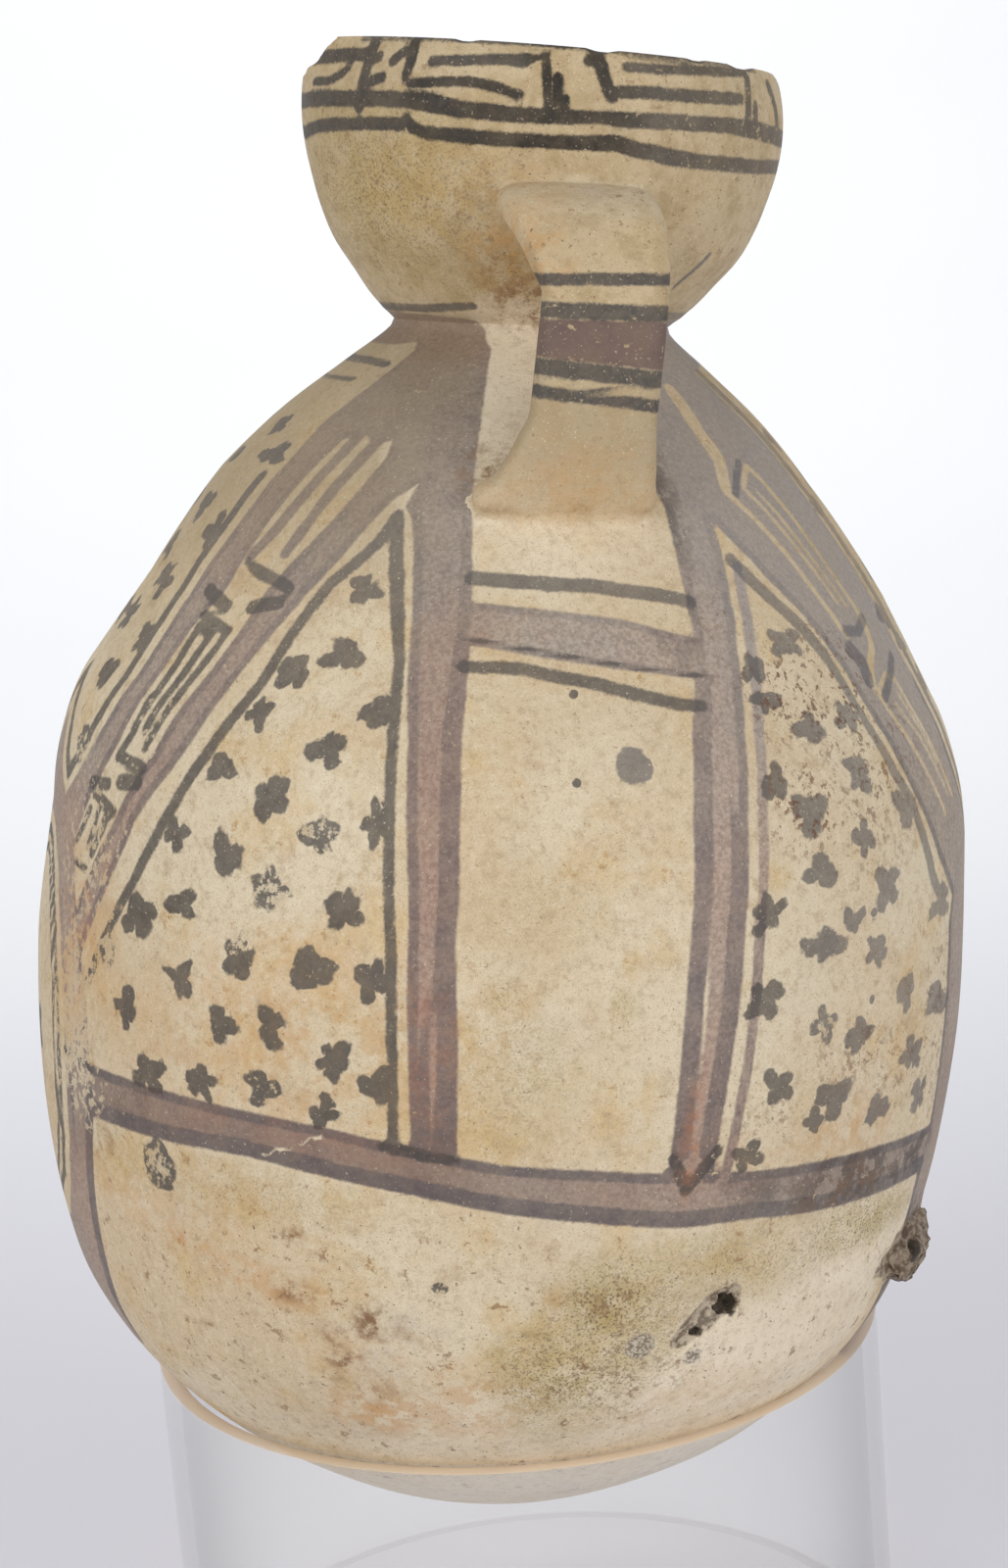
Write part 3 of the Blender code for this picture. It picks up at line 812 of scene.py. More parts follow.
# %% [markdown]
# ## Dark lines on the body
# Over and beside the wash the painter drew dark lines: borders along each field, stripes under
# the handle and meanders that fold in and out. A loaded brush leaves a line that swells and
# thins, so points along a line can carry their own width. Three lines have faded to the colour
# of the wash, so they join the wash.

# %% Borders and stripes
BORDERS = [
    (2.5, [(-21.7, 278, 3.4), (-20.6, 270, 3.8), (-19.3, 262, 4), (-17.9, 252.4, 3.5), (-16.4, 245, 3),
           (-14.9, 228), (-14.6, 210), (-14.5, 193), (-13.7, 180), (-13.2, 168), (-12.7, 151),
           (-12.3, 130)]),
    (3.0, [(-21.7, 278, 3.4), (-23.6, 272), (-27, 266), (-29.9, 261.5), (-32, 255.5), (-33.6, 248),
           (-34.3, 242), (-34.8, 237.8), (-36.8, 229.6), (-39.3, 220.5), (-41.5, 213.3),
           (-43.4, 206), (-45.3, 199.6), (-47.6, 192.4), (-49.5, 185), (-51.7, 177.8),
           (-53.4, 171.5), (-55.3, 164), (-57.4, 156)]),
    (3.8, [(35.3, 269), (39.9, 260), (44.3, 252.5), (46.8, 246.5), (48.7, 239, 3.2), (50.2, 231, 3.2),
           (53, 217.3), (55.4, 210), (57.7, 199), (60, 188), (63, 181.8)]),
    (3.3, [(-57, 284), (-57.9, 279.6), (-59.2, 270.5), (-60.8, 261.5), (-61.6, 252.4),
           (-62, 240), (-62.1, 231.5), (-64, 222.4), (-66.5, 214), (-70.4, 205), (-73, 210),
           (-77, 222), (-95, 270)]),
    (4.6, [(67.5, 312), (69, 303), (71, 294), (72.2, 287), (72.8, 280), (73, 273), (73.6, 264), (74, 255),
           (74.6, 246), (75.8, 238), (77, 228), (78, 217), (80, 204), (84, 212), (95, 250)]),
    (2.4, [(-80, 187), (-76, 185), (-72.4, 178), (-68.6, 165), (-66.6, 150), (-66.2, 130),
           (-67.2, 110), (-70, 98), (-80, 84)]),
    (2.0, [(-80, 182), (-76.6, 180), (-73.6, 174), (-70.4, 163), (-68.4, 149), (-68, 130),
           (-69, 112), (-72, 101), (-80, 89)]),
    (2.4, [(-95, 313.6), (-60, 313.4), (-50, 312.8)]),
    (1.6, [(-95, 308), (-70, 308.4), (-58, 308.6)]),
    (3.6, [(-8, 264.5), (10, 263.5), (20, 261.5), (25, 260)]),
    (3.0, [(-8, 244.7), (-1, 244.7), (10, 241.5, 3.4), (20, 237, 3.4), (23.6, 236.3, 3.4)]),
    (1.0, [(-9, 251.3), (5, 247.9), (15, 245.2), (26, 242.6)]),
    (2.6, [(-13.5, 131), (-5.5, 128.4)]),
    (2.8, [(19, 129), (20.8, 120), (24.4, 130)]),
    (2.2, [(-64, 135), (-56, 134)]),
]
FADED_BORDER = [(36, 268, 3.2), (34.5, 260, 3.2), (33.2, 250, 3.2), (32.4, 240, 3.2),
                (31.1, 230, 3.1), (29, 210, 3), (28.3, 190, 2.9), (27.7, 160, 2.9),
                (27.3, 150, 2.8), (26.4, 135, 2.8), (25.5, 122, 2.8)]
WIDE_STRIPE = [(-9, 259.3), (5, 257.7), (14, 256), (26, 250.8), (26, 241.8), (5, 246.7), (-9, 250)]
FADED_MEANDER = [
    (2.5, [(-40, 299), (-36, 297.5), (-32, 294)]),
    (3.2, [(-32.6, 294.5, 4), (-34.5, 288, 4), (-37.2, 279), (-40.4, 267)]),
    (3.4, [(-37.2, 299), (-39.2, 291), (-42, 281), (-45.2, 271), (-47.6, 265.5)]),
]
MEANDER_LEFT = [
    (3.2, [(-48.2, 264.2, 2), (-44.5, 262), (-40, 260.5), (-37, 259)]),
    (4.0, [(-42.5, 253.8), (-38, 255.5)]),
    (3.5, [(-54, 256), (-50, 254), (-47.8, 252.8)]),
    (2.4, [(-52, 250.5), (-44.8, 247.5), (-46, 240), (-48.3, 228), (-50.5, 218)]),
    (2.6, [(-54, 222), (-52.5, 229), (-51.5, 238), (-51.3, 248), (-47.9, 246), (-49, 236),
           (-50.3, 229), (-51.5, 222)]),
    (2.5, [(-53, 230), (-53.8, 221), (-56, 214)]),
    (3.0, [(-56.2, 214, 2), (-55.5, 214.5), (-50, 213.3)]),
    (4.0, [(-54.2, 208.5), (-50.5, 209.5)]),
    (3.0, [(-61.5, 206), (-57, 207)]),
    (3.0, [(-60.3, 204), (-55, 200.8)]),
    (2.6, [(-55, 200.8), (-56.5, 199), (-59.5, 188.5)]),
    (2.0, [(-61, 199.5), (-64.3, 190)]),
    (2.0, [(-58.7, 199.5), (-60.7, 190)]),
    (2.0, [(-63.8, 185), (-60.5, 183.8)]),
]
MEANDER_RIGHT = [
    (2.0, [(43.6, 284), (46.4, 288), (50.5, 291.6)]),
    (3.0, [(54.6, 250.6), (58, 250), (61.8, 252.6)]),
    (5.0, [(53.8, 246), (55.4, 243), (55.2, 239)]),
    (2.8, [(57.8, 234), (61.5, 237.4), (66.5, 242.6)]),
]
print(len(BORDERS), "borders and stripes,", len(MEANDER_LEFT + MEANDER_RIGHT), "strokes of the meanders")

# %% Draw the lines and fade three of them
BAND_TOP = 128.0
PAINT_MARGIN = 1.0
STRIPE_EDGE = 3.0

faded_border = stroke(FADED_BORDER)
wide_stripe = area(WIDE_STRIPE)
faded_meander = union(*brushed(FADED_MEANDER))
wash = union(wash, wide_stripe, faded_border, np.where(in_front, faded_meander, FAR))
edging = np.where(wide_stripe < PAINT_MARGIN, wide_stripe - STRIPE_EDGE, edging)
edging = np.where((faded_border < PAINT_MARGIN) & (heights > BAND_TOP), -FAR, edging)
lines = brushed(BORDERS)
lines.append(np.where(in_front, union(*brushed(MEANDER_LEFT + MEANDER_RIGHT)), FAR))
print(len(lines), "dark lines on the body")

# %% [markdown]
# ## The cup's key pattern
# A running key of hooked bars goes round the cup between two bands. The brush ran dry in places,
# so the bars are drawn one by one with their own widths, not stamped.

# %% Bands and bars of the cup
CUP_BANDS = [
    (3.7, [(-95, 376.4), (-80, 377.4), (-40, 377.6), (-33, 377.5), (-27, 377, 5), (-20, 375.9, 4.2),
           (-10, 375.4), (0, 375.5), (10, 376, 3.3), (18, 375.9), (25, 376.3, 4.2), (45, 376.9),
           (55, 376.8, 4.8), (75, 375.7, 4.8), (95, 376, 4.4)]),
    (3.0, [(-95, 369.2), (-80, 369.5), (-65, 371.1), (-45, 371.6), (-35, 371.8)]),
    (3.0, [(-33.6, 372.8), (-32, 371.2), (-29, 370), (-20, 369.6, 3.7), (-10, 369.2, 3.6),
           (0, 369.4, 3.6), (8, 369.7, 3.8), (15, 370.2, 4.3), (20, 369, 4), (25, 368.4, 4.2),
           (30, 367.6, 4.4), (40, 367.1, 4), (60, 367.4, 4), (95, 369, 4)]),
    (1.4, [(-50, 392.2), (-10, 392.6), (30, 392.3), (60, 392.2)]),
]
CUP_BARS = [
    (3.3, [(-45, 391), (-46, 386), (-47, 381), (-48, 375.5)]),
    (2.2, [(-45, 386.5), (-42.5, 387.8)]),
    (2.4, [(-46, 381), (-40.8, 383)]),
    (3.2, [(-72, 387.4), (-60, 387.8), (-47, 388.3)]),
    (2.0, [(-70, 381.8), (-61, 381.8), (-55, 383.5), (-52.5, 385.3)]),
    (3.0, [(-33, 392), (-33.2, 387), (-34.4, 382.6, 2.2)]),
    (2.2, [(-35, 389.5), (-38.5, 386.5)]),
    (2.4, [(-27.5, 387), (-20, 387.6), (-12, 388.3), (-6.5, 388.4, 3.8), (-3, 389.3, 2)]),
    (2.3, [(-33, 381.5), (-25, 382.2), (-18, 382.6), (-12, 381.6), (-8, 380.3), (-6.8, 380.2)]),
    (2.2, [(-1.2, 390), (-0.8, 384), (-0.3, 378)]),
    (2.6, [(1.5, 385), (1.5, 379)]),
    (2.0, [(3.2, 380), (3.2, 378)]),
    (3.2, [(10.5, 392), (11.5, 388), (13, 383), (14, 381.5)]),
    (2.5, [(11, 390), (8.5, 389.5)]),
    (3.0, [(13.5, 382.3), (20, 383), (32, 383.2), (42, 383.6), (50.5, 384)]),
    (2.4, [(17.5, 388.8), (30, 389.4), (42, 390.2), (53, 391)]),
    (2.6, [(54.5, 391), (54, 384), (53.5, 378.5)]),
    (2.4, [(57, 383), (57, 379)]),
    (3.0, [(66, 389), (69, 384), (71, 379)]),
    (2.8, [(95, 391), (94, 384), (95, 378.5)]),
]
NECK_LINES = [
    (2.6, [(-95, 327), (-45, 327.2), (-30, 328), (-23, 328.5)]),
    (2.6, [(30, 328), (50, 327.4), (95, 327)]),
    (1.3, [(53, 344), (47, 335)]),
]

lines += brushed(CUP_BANDS + CUP_BARS + NECK_LINES)
body_dark = union(*lines)
print(len(lines), "dark lines in all")

# %% [markdown]
# ## Brush spots
# The fields are filled with small dabs, three to five touches of the brush each. Every point
# learns where it is within its nearest dab, and the clay's shader draws the lobes from that. A
# seed for each dab keeps any two from looking alike. Neighbours go into different groups, because
# a point can only know one dab of each group.

# %% Dabs in the fields
DAB_WIDE = 10.0
DAB_TALL = 9.6
DABS = [
    (-24, 260.5, 9, 8.5), (-24.5, 245.5, 11, 10), (-31, 240.5, 9, 9), (-17.7, 233, 9, 9),
    (-33.4, 230.5, 8, 8), (-22.7, 224.7), (-37, 217, 10, 8), (-29.5, 212, 11, 10),
    (-16, 209, 8, 12), (-22.7, 204, 9, 10),
    (-42.7, 199.3, 9, 9), (-35, 196.3, 11, 11), (-28.6, 190.5, 12, 10), (-19.3, 187), (-40.2, 182.7, 11, 8.6),
    (-47.7, 177, 13, 11), (-32, 173, 11, 12), (-22.4, 172), (-15.4, 171.7, 8.4, 11), (-53, 166, 9, 10),
    (-40, 164.7), (-27, 157), (-33.4, 155.5), (-48.8, 153), (-19.5, 151), (-14, 145.5, 9, 10),
    (-44.6, 138.3, 13, 12), (-36, 139.7, 11, 10), (-28, 141.3), (-20.4, 137.2, 10, 9),
    (-59.5, 289.5, 12, 8), (40, 249.7, 13, 9), (32.6, 244.7, 7, 9), (33.3, 236.3, 8, 7), (39.5, 230, 10, 9),
    (47.2, 231.3, 10, 9), (31.9, 218, 8, 10), (45.4, 218), (36, 210.5, 11, 10), (53.6, 208, 11, 10),
    (44.4, 202.7, 8, 9), (36.5, 196.7, 11, 9), (48.6, 189.7, 11, 11), (29, 187.2), (42.2, 183.3, 8, 7),
    (37.9, 178.3, 15, 10), (46.6, 173.8), (62.6, 180.5, 15, 9), (29, 166.3), (53.3, 161.3), (38, 158.3, 8, 9),
    (44, 153), (62.2, 155.5, 17, 10), (32, 144.3), (55.6, 143.8, 13, 9), (40.4, 138.3, 12, 11),
    (37.4, 133.8, 7, 7), (48.6, 133.3), (28.3, 127.2, 9, 8), (59.6, 131.3), (-73, 275), (-61.6, 269.7),
    (-70.2, 256, 12, 11), (-79, 263), (-63.8, 242), (-76.6, 245.5), (-69, 232), (-67.4, 213.8),
    (-81, 287.5), (-69, 296, 9, 7), (-78.5, 133, 12, 16),
    (73, 278), (71.6, 252, 10, 9), (75.4, 243, 11, 9), (82, 262), (79, 233), (77, 296), (84, 285), (86, 244),
]
PLAIN_DABS = [
    (-43.3, 114.9, 12, 13), (13.6, 223.3, 9.6, 9.2), (6.6, 239.3, 2.4, 2.4), (6.6, 219.7, 2.4, 2.4),
    (-6.8, 95, 4.2, 3.4), (45.8, 184, 2.6, 2.4), (46, 162, 2.2, 2.2),
]
print(len(DABS), "lobed dabs and", len(PLAIN_DABS), "plain ones")

# %% Share the dabs out
GROUPS = 3
SEED_STEP = 3.7
PLAIN_SEED = 900.0

dabs = [(dab + (DAB_WIDE, DAB_TALL))[:4] + (0.0,) for dab in DABS]
dabs += [dab + (PLAIN_SEED,) for dab in PLAIN_DABS]
dab_groups = [[] for _ in range(GROUPS)]
dab_places = [np.stack((np.full(len(heights), FAR), heights, turns)) for _ in range(GROUPS)]
dab_reach = [np.full(len(heights), FAR) for _ in range(GROUPS)]
for number, (turn, height, wide, tall, plain) in enumerate(dabs):
    spot = np.array((turn * mm_per_degree(height), climbed(height)))
    room = [min((np.linalg.norm(spot - other) for other in group), default=1000.0) for group in dab_groups]
    group = int(np.argmax(room))
    dab_groups[group].append(spot)
    x = (ornament_turns - turn) * mm_per_degree(height) / (wide / 2)
    y = (climbs - climbed(height)) / (tall / 2)
    reach = np.hypot(x, y)
    mine = (reach < dab_reach[group]) & ~on_handle
    dab_reach[group] = np.where(mine, reach, dab_reach[group])
    seeded = np.stack((x, y, np.full(len(x), SEED_STEP * number + plain)))
    dab_places[group] = np.where(mine, seeded, dab_places[group])
print(number + 1, "dabs in groups of", [len(group) for group in dab_groups])

# %% [markdown]
# ## The handle's bands
# Bands go straight across the strap by height. The outer skin of the strap is a point's own
# place, so its height alone decides the paint, with a small slope from left to right.

# %% Paint of the straps
STRAP_LINES = ((337.0, 3.0, 0.06), (329.2, 4.0, 0.0), (314.6, 4.2, -0.13), (308.4, 3.2, -0.15))

strap_turn = np.degrees(np.where(place[:, 1] < 0, HANDLE_TURN, HANDLE_TURN + math.pi))
aside = (turns - strap_turn + 180.0) % 360.0 - 180.0
above = [heights - middle - slope * aside for middle, width, slope in STRAP_LINES]
strap_dark = union(*[np.abs(rise) - line[1] / 2 for rise, line in zip(above, STRAP_LINES)])
strap_wash = np.maximum(above[1] + STRAP_LINES[1][1] / 2, -above[2] + STRAP_LINES[2][1] / 2)
dark = np.where(on_handle, strap_dark, body_dark)
wash = np.where(on_handle, strap_wash, wash)
edging = np.where(on_handle, strap_wash, edging)
print("strap points:", int(on_handle.sum()))

# %% [markdown]
# ## Age and wear
# Centuries in the ground left orange and olive stains, soot-like greys and places where the paint has flaked.
# Soft blots mark where each of them sits, and also where light and shade are painted: painted light lifts the
# slip beside and under the strap and low on the front, and some of the olive and grey-brown blots are painted
# shade beside the strap and high on the cup's left. The shader breaks them up with fine grain, so no blot
# shows its outline.

# %% Where stains and wear sit
RED_PLACES = [
    (-9, 205, 26, 60, 0.9), (-9, 160, 26, 50, 0.9), (23, 205, 30, 75, 1.0), (22, 150, 26, 50, 1.0),
    (-40, 129, 60, 16, 0.85), (-15, 127, 45, 16, 0.9), (10, 119, 40, 14, 0.6), (-50, 195, 30, 50, 0.85),
    (-42, 235, 26, 30, 0.5), (-60, 150, 26, 60, 0.55), (-68, 195, 30, 16, 0.9), (-61, 100, 30, 50, 0.7),
    (72, 100, 30, 80, 0.25), (-32, 322, 70, 9, 0.85), (-55, 265, 30, 40, 0.3), (40, 275, 30, 30, 0.2),
]
RUST_PLACES = [
    (-22, 155, 55, 30, 0.45), (-12, 146, 30, 20, 0.3), (-36, 150, 40, 24, 0.25), (8, 288, 30, 12, 0.3),
    (2, 250, 30, 10, 0.12), (-40, 96, 12, 6, 0.75), (-31.4, 91.5, 14, 6, 0.65), (-25, 88.5, 12, 5, 0.8),
    (-15.7, 56.5, 16, 10, 0.75), (-24, 104, 8, 5, 0.5), (-50, 104, 20, 10, 0.4),
    (-48, 109, 40, 12, 0.3), (-18, 74, 16, 8, 0.35), (0, 168, 8, 7, 0.3), (-60, 168, 22, 30, 0.5),
    (45, 150, 30, 24, 0.15), (20.9, 133, 3, 18, 0.8), (36, 126, 40, 10, 0.2), (6, 92, 5, 5, 0.55),
    (50, 170, 30, 20, 0.12), (-35, 110, 44, 12, 0.3),
    (-4, 62, 24, 14, 0.5), (30, 58, 30, 14, 0.3), (44, 130, 26, 9, 0.5),
    (-10, 342, 14, 14, 0.75), (-24, 356, 30, 14, 0.35), (4, 283, 11, 9, 0.35),
]
# Olive stains; the wide blot high on the cup's left is both a yellowish stain and painted shade on that side.
OLIVE_AND_SHADE_PLACES = [
    (14, 84, 24, 24, 0.7), (13, 90, 14, 12, 0.95), (9, 72, 22, 18, 0.8), (30, 98, 44, 12, 0.45),
    (50, 101, 30, 9, 0.8), (8, 288, 30, 10, 0.3), (-16, 150, 30, 20, 0.15),
    (-30, 113, 40, 10, 0.3), (-50, 114, 30, 10, 0.2), (-14, 336, 22, 12, 0.4),
    (-20, 352, 24, 12, 0.25), (10, 60, 20, 12, 0.4), (0, 150, 20, 22, 0.3), (2, 190, 20, 14, 0.2),
    (-46, 356, 46, 26, 0.6), (-1, 169, 6, 6, 0.4), (12, 167, 4, 5, 0.4),
]
# Grey-brown spots; those beside the strap, where it meets the neck, the cup and the shoulder, are painted
# shade.
SOOT_AND_SHADE_PLACES = [
    (-5, 329, 10, 9, 0.8), (-14, 338, 9, 6, 0.45), (-7, 289.5, 8, 7, 0.6), (-24, 104.3, 5, 3, 0.8),
    (-14.6, 83.9, 7, 6, 0.9), (-18.5, 71.5, 7, 4, 0.8), (-20, 79, 5, 4, 0.6), (-24.5, 89.5, 7, 4, 0.6),
    (-17, 65, 12, 6, 0.4), (62, 82, 12, 8, 0.5), (-2, 358, 20, 3, 0.35),
    (13, 92, 5, 5, 0.5), (-55, 118, 8, 8, 0.4), (45, 113, 26, 8, 0.35),
]
# Painted light: places where the slip is painted lighter, over the strap's shadow on the neck, under the
# strap's foot and low on the front.
PAINTED_LIGHT_PLACES = [
    (-9, 305, 24, 30, 1.0), (-9, 292, 20, 18, 0.9), (34, 62, 60, 30, 0.9), (46, 88, 40, 26, 0.7),
    (8, 40, 50, 20, 0.5), (8, 272, 36, 10, 0.3), (-2, 52, 24, 14, 0.5),
]
WORN_PLACES = [
    (-61, 147, 20, 32, 0.95), (-60, 185, 24, 30, 0.6), (-52, 224, 12, 14, 0.45), (-28, 190, 10, 9, 0.7),
    (-22, 204, 8, 8, 0.6), (-53, 166, 8, 8, 0.9), (-60, 128, 24, 16, 0.6), (48, 113, 40, 8, 0.15),
    (-43.3, 114.9, 9, 9, 0.75), (-67, 213, 12, 8, 0.6), (-31, 305, 12, 7, 0.2), (26, 127, 14, 12, 0.3),
    (38, 158, 8, 6, 0.5), (-31, 177, 7, 6, 0.8), (-28, 141, 8, 7, 0.4), (-6.8, 95, 5, 5, 0.7),
    (26, 84, 16, 12, 0.8), (17.5, 79, 7, 6, 0.8), (60, 378, 60, 20, 0.3),
]
FLECK_PLACES = [
    (38, 238, 20, 14, 1.0), (46, 236, 22, 20, 1.0), (36, 212, 18, 14, 1.0), (48, 215, 26, 20, 0.7),
    (45, 148, 26, 10, 0.6), (31, 137, 12, 10, 0.5), (30, 250, 14, 20, 0.4), (52, 140, 16, 14, 0.5),
    (50, 117, 20, 7, 0.3), (62, 114, 16, 8, 0.3), (64, 150, 16, 30, 0.7), (57, 224, 14, 16, 0.6),
    (46, 204, 20, 18, 0.5), (16, 72, 26, 18, 0.5), (14, 90, 14, 10, 0.6),
]
MOTTLE_PLACES = [
    (46, 116, 30, 9, 1.0), (60, 114, 20, 9, 1.0), (31, 118, 14, 6, 0.6), (-50, 130, 14, 8, 0.4),
    (23.5, 285, 9, 24, 0.8), (22, 258, 8, 18, 0.5), (68, 84, 18, 18, 1.0),
]
CRACK = [(-20, 132), (-22, 130.4), (-24, 127.6), (-26, 126.6), (-28, 124)]
print(len(RUST_PLACES + OLIVE_AND_SHADE_PLACES + SOOT_AND_SHADE_PLACES), "stained places,", len(WORN_PLACES), "worn ones")


# %% Blots, ramps and tables
def blots(places):
    """The strongest of several soft blots at every point."""
    strength = np.zeros(len(heights))
    for turn, height, wide, tall, full in places:
        strength = np.maximum(strength, full * cloud(turn, height, wide, tall))
    return strength


def ramp(values, start, length):
    """Nought up to the start, one from a length further on, and even between them."""
    return np.clip((values - start) / length, 0.0, 1.0)


def graded(values, table):
    """Strengths read from a table of places and strengths."""
    return np.interp(values, *zip(*table))


def off_handle(values):
    """The values on the wall, and nought on the straps."""
    return np.where(on_handle, 0.0, values)


print("rust reaches", int((blots(RUST_PLACES) > 0.0).sum()), "points")

# %% [markdown]
# ## How strong each paint is
# The painter's dark paint is denser on the cup than on the body and has faded on the right. The wash is
# reddest in the bands and palest on the right. High on the left the slip and wash are painted darker, high on
# the right the wash is painted greyer, and the strap is painted darker near its lower end, all painted shade.
# Tables by height or by turn describe that better than more blots would, because the changes are slow.

# %% Strength of the dark paint and of the red
NECK_ABOVE = 330.0
INK_BY_HEIGHT = ((60, 0.92), (236, 0.92), (268, 0.80), (320, 0.80), (366, 0.97), (392, 0.97))
RIGHT_FADING = 0.14
SLOW_FADING = 0.12
STRAP_INK = 0.97
STRAP_RED = 0.95
NECK_RED = 0.35
FADED_DAB = (13.6, 223.3, 8.0, 8.0)
FADED_DAB_INK = 0.72

red = np.where(on_handle, STRAP_RED, np.where(heights > NECK_ABOVE, NECK_RED, blots(RED_PLACES)))
ink = graded(heights, INK_BY_HEIGHT)
ink = np.where(on_handle, STRAP_INK, ink - SLOW_FADING * ramp(ornament_turns, 12.0, 40.0))
faded_right = RIGHT_FADING * ramp(ornament_turns, 30.0, 20.0) * ramp(heights, 110.0, 60.0)
ink = np.where(on_handle | (heights > NECK_ABOVE), ink, ink - faded_right)
ink = np.where(cloud(*FADED_DAB) > 0.0, FADED_DAB_INK, ink)
print("dark paint covers by", round(float(ink.min()), 2), "to", round(float(ink.max()), 2))

# %% Dark edges of the washed bands
PANEL_TURNS = (-9.5, 25.5)
BAND_MIDDLE = ((-58, 128), (-30, 129), (-10, 125), (0, 121.6), (20, 117.5), (50, 115), (68, 113.5))
LEFT_FIELD_ENDS = -63.0
RIGHT_FIELD_ENDS = 66.0
FADED_BORDER_TOP = 190.0
RIGHT_EDGE_TOP = 235.0
EDGE_INK = ((60, 1.0), (140, 0.85), (200, 0.7), (240, 0.5), (268, 0.3), (290, 0.1))
SIDE_EDGE_INK = 0.1
RIGHT_EDGE_INK = 0.7
PANEL_EDGE_WIDTH = 5.0
LOWER_EDGE_WIDTH = 4.4
EDGE_WIDTH = 2.6

panel_side = within(ornament_turns, PANEL_TURNS) & (heights > BAND_TOP)
lower_half = (heights < graded(ornament_turns, BAND_MIDDLE)) & (np.abs(ornament_turns) < RIGHT_FIELD_ENDS)
edge_width = np.where(panel_side, PANEL_EDGE_WIDTH, np.where(lower_half, LOWER_EDGE_WIDTH, EDGE_WIDTH))
edging = np.where((faded_border < PAINT_MARGIN) & (heights < FADED_BORDER_TOP), -edge_width, edging)
far_right = ornament_turns > RIGHT_FIELD_ENDS
edge_ink = graded(heights, EDGE_INK)
far_left = ornament_turns < LEFT_FIELD_ENDS
edge_ink = np.where(on_handle | far_left | far_right, SIDE_EDGE_INK, edge_ink)
edge_ink = np.where(far_right & (heights < RIGHT_EDGE_TOP), RIGHT_EDGE_INK, edge_ink)
print("edge widths:", np.unique(edge_width).tolist(), "mm")

# %% How pale the wash is and how black the lines are
PALE_BY_TURN = ((-95, 0.3), (-60, 0.35), (-20, 0.25), (-12, 0.2), (-6, 0.2), (-2, 0.9), (16, 0.9),
                (22, 0.75), (30, 0.7), (42, 0.5), (95, 0.5))
PALE_LOW = ((-60, 0.90), (-45, 0.45), (-12, 0.45), (12, 0.30), (24, 0.40), (66, 0.25))
BLACK_BY_HEIGHT = ((60, 0.62), (180, 0.55), (240, 0.32), (366, 0.3))
BLACK_ON_RIGHT = ((150, 0.5), (366, 0.1))
BLACK_ON_CUP = ((-95, 0.5), (-50, 0.6), (-36, 0.7), (-31, 1.0), (17, 1.0), (24, 0.6), (95, 0.45))
CUP_PAINT_FOOT = 366.0
HIGH_BARS_FOOT = 386.0
HIGH_BAR_BLACK = 0.62
STRAP_BLACK = 0.5
RIGHT_FROM = 30.0
HIGH_BARS_LEFT = (-28.0, -6.0)
HIGH_BARS_RIGHT = (17.0, 53.0)

pale_low = graded(ornament_turns, PALE_LOW)
pale = graded(ornament_turns, PALE_BY_TURN) * np.clip(pale_low + (heights - 130.0) / 150.0, pale_low, 1.0)
black = np.where(on_handle, STRAP_BLACK, graded(heights, BLACK_BY_HEIGHT))
black_right = np.minimum(black, graded(heights, BLACK_ON_RIGHT))
black = np.where(ornament_turns > RIGHT_FROM, black_right, black)
by_turn = within(ornament_turns, HIGH_BARS_LEFT) | within(ornament_turns, HIGH_BARS_RIGHT)
high_bars = (heights > HIGH_BARS_FOOT) & by_turn
cup_black = np.where(high_bars, HIGH_BAR_BLACK, graded(ornament_turns, BLACK_ON_CUP))
black = np.where(heights > CUP_PAINT_FOOT, cup_black, black)
print("points of the pale bars on the cup:", int(high_bars.sum()))

# %% Depth of the red, tan clay and painted side shade, dirt, and painted shade
DEEPEST_RED = 122.0
TAN_OF_STRAP = ((275, 0.1), (288, 0.6), (300, 0.95), (312, 1.0), (318, 1.0), (338, 1.0), (348, 0.8),
                (358, 0.2))
TAN_OF_WALL = ((318, 0.0), (332, 0.85), (370, 1.0), (392, 0.85))
GRIME = ((50, 1.0), (100, 0.9), (125, 0.4), (200, 0.2), (320, 0.2), (340, 0.8))
SHADE_TOP = 326.0
SHADED_STRAP_HEIGHT = 300.0
STRAP_WASH_DEPTH = 1.8
STRAP_WEAR = 0.15

near_band = np.clip(1.4 - np.abs(climbs - climbed(DEEPEST_RED)) / 16.0, 0.2, 0.9)
to_left = np.clip(1.0 - (ornament_turns + 10.0) / 50.0, 0.35, 1.0)
deep = np.where(on_handle, STRAP_WASH_DEPTH, near_band * to_left)
# Painted shade: high up and far round on both sides the slip is darkened with the cup's tan, where the side
# turns from the light.
painted_side_shade = ramp(heights, 225.0, 30.0) * ramp(np.abs(ornament_turns + 5.0), 50.0, 12.0)
tan_and_side_shade_wall = np.maximum(graded(heights, TAN_OF_WALL), 0.8 * painted_side_shade)
tan = np.where(on_handle, graded(heights, TAN_OF_STRAP), tan_and_side_shade_wall)
grime = graded(heights, GRIME)
worn = np.where(on_handle, STRAP_WEAR, blots(WORN_PLACES))
# Painted shade: high on the left of the shoulder, and round the strap's lower part, the slip and wash are
# darkened; high on the right the wash is greyed.
shade_high_left = ramp(heights, 255.0, 25.0) * ramp(-ornament_turns, 12.0, 12.0) * (heights < SHADE_TOP)
shade_on_strap = np.clip(1.4 - np.abs(heights - SHADED_STRAP_HEIGHT) / 14.0, 0.0, 1.0)
painted_shade_left = np.where(on_handle, shade_on_strap, shade_high_left)
painted_shade_right = ramp(heights, 205.0, 40.0) * ramp(ornament_turns, 22.0, 10.0)
print("smoky points:", int((painted_shade_left > 0.0).sum()))


# %% Keep it all on the mesh
WALL_INSIDE = -2.5
PIT_FLOOR = -9.0


def keep(name, *parts):
    """Keep three numbers for each point as a named attribute that the shader can read."""
    layer = vessel.data.attributes.new(name, "FLOAT_VECTOR", "POINT")
    layer.data.foreach_set("vector", np.stack(parts, axis=1).astype(np.float32).ravel())


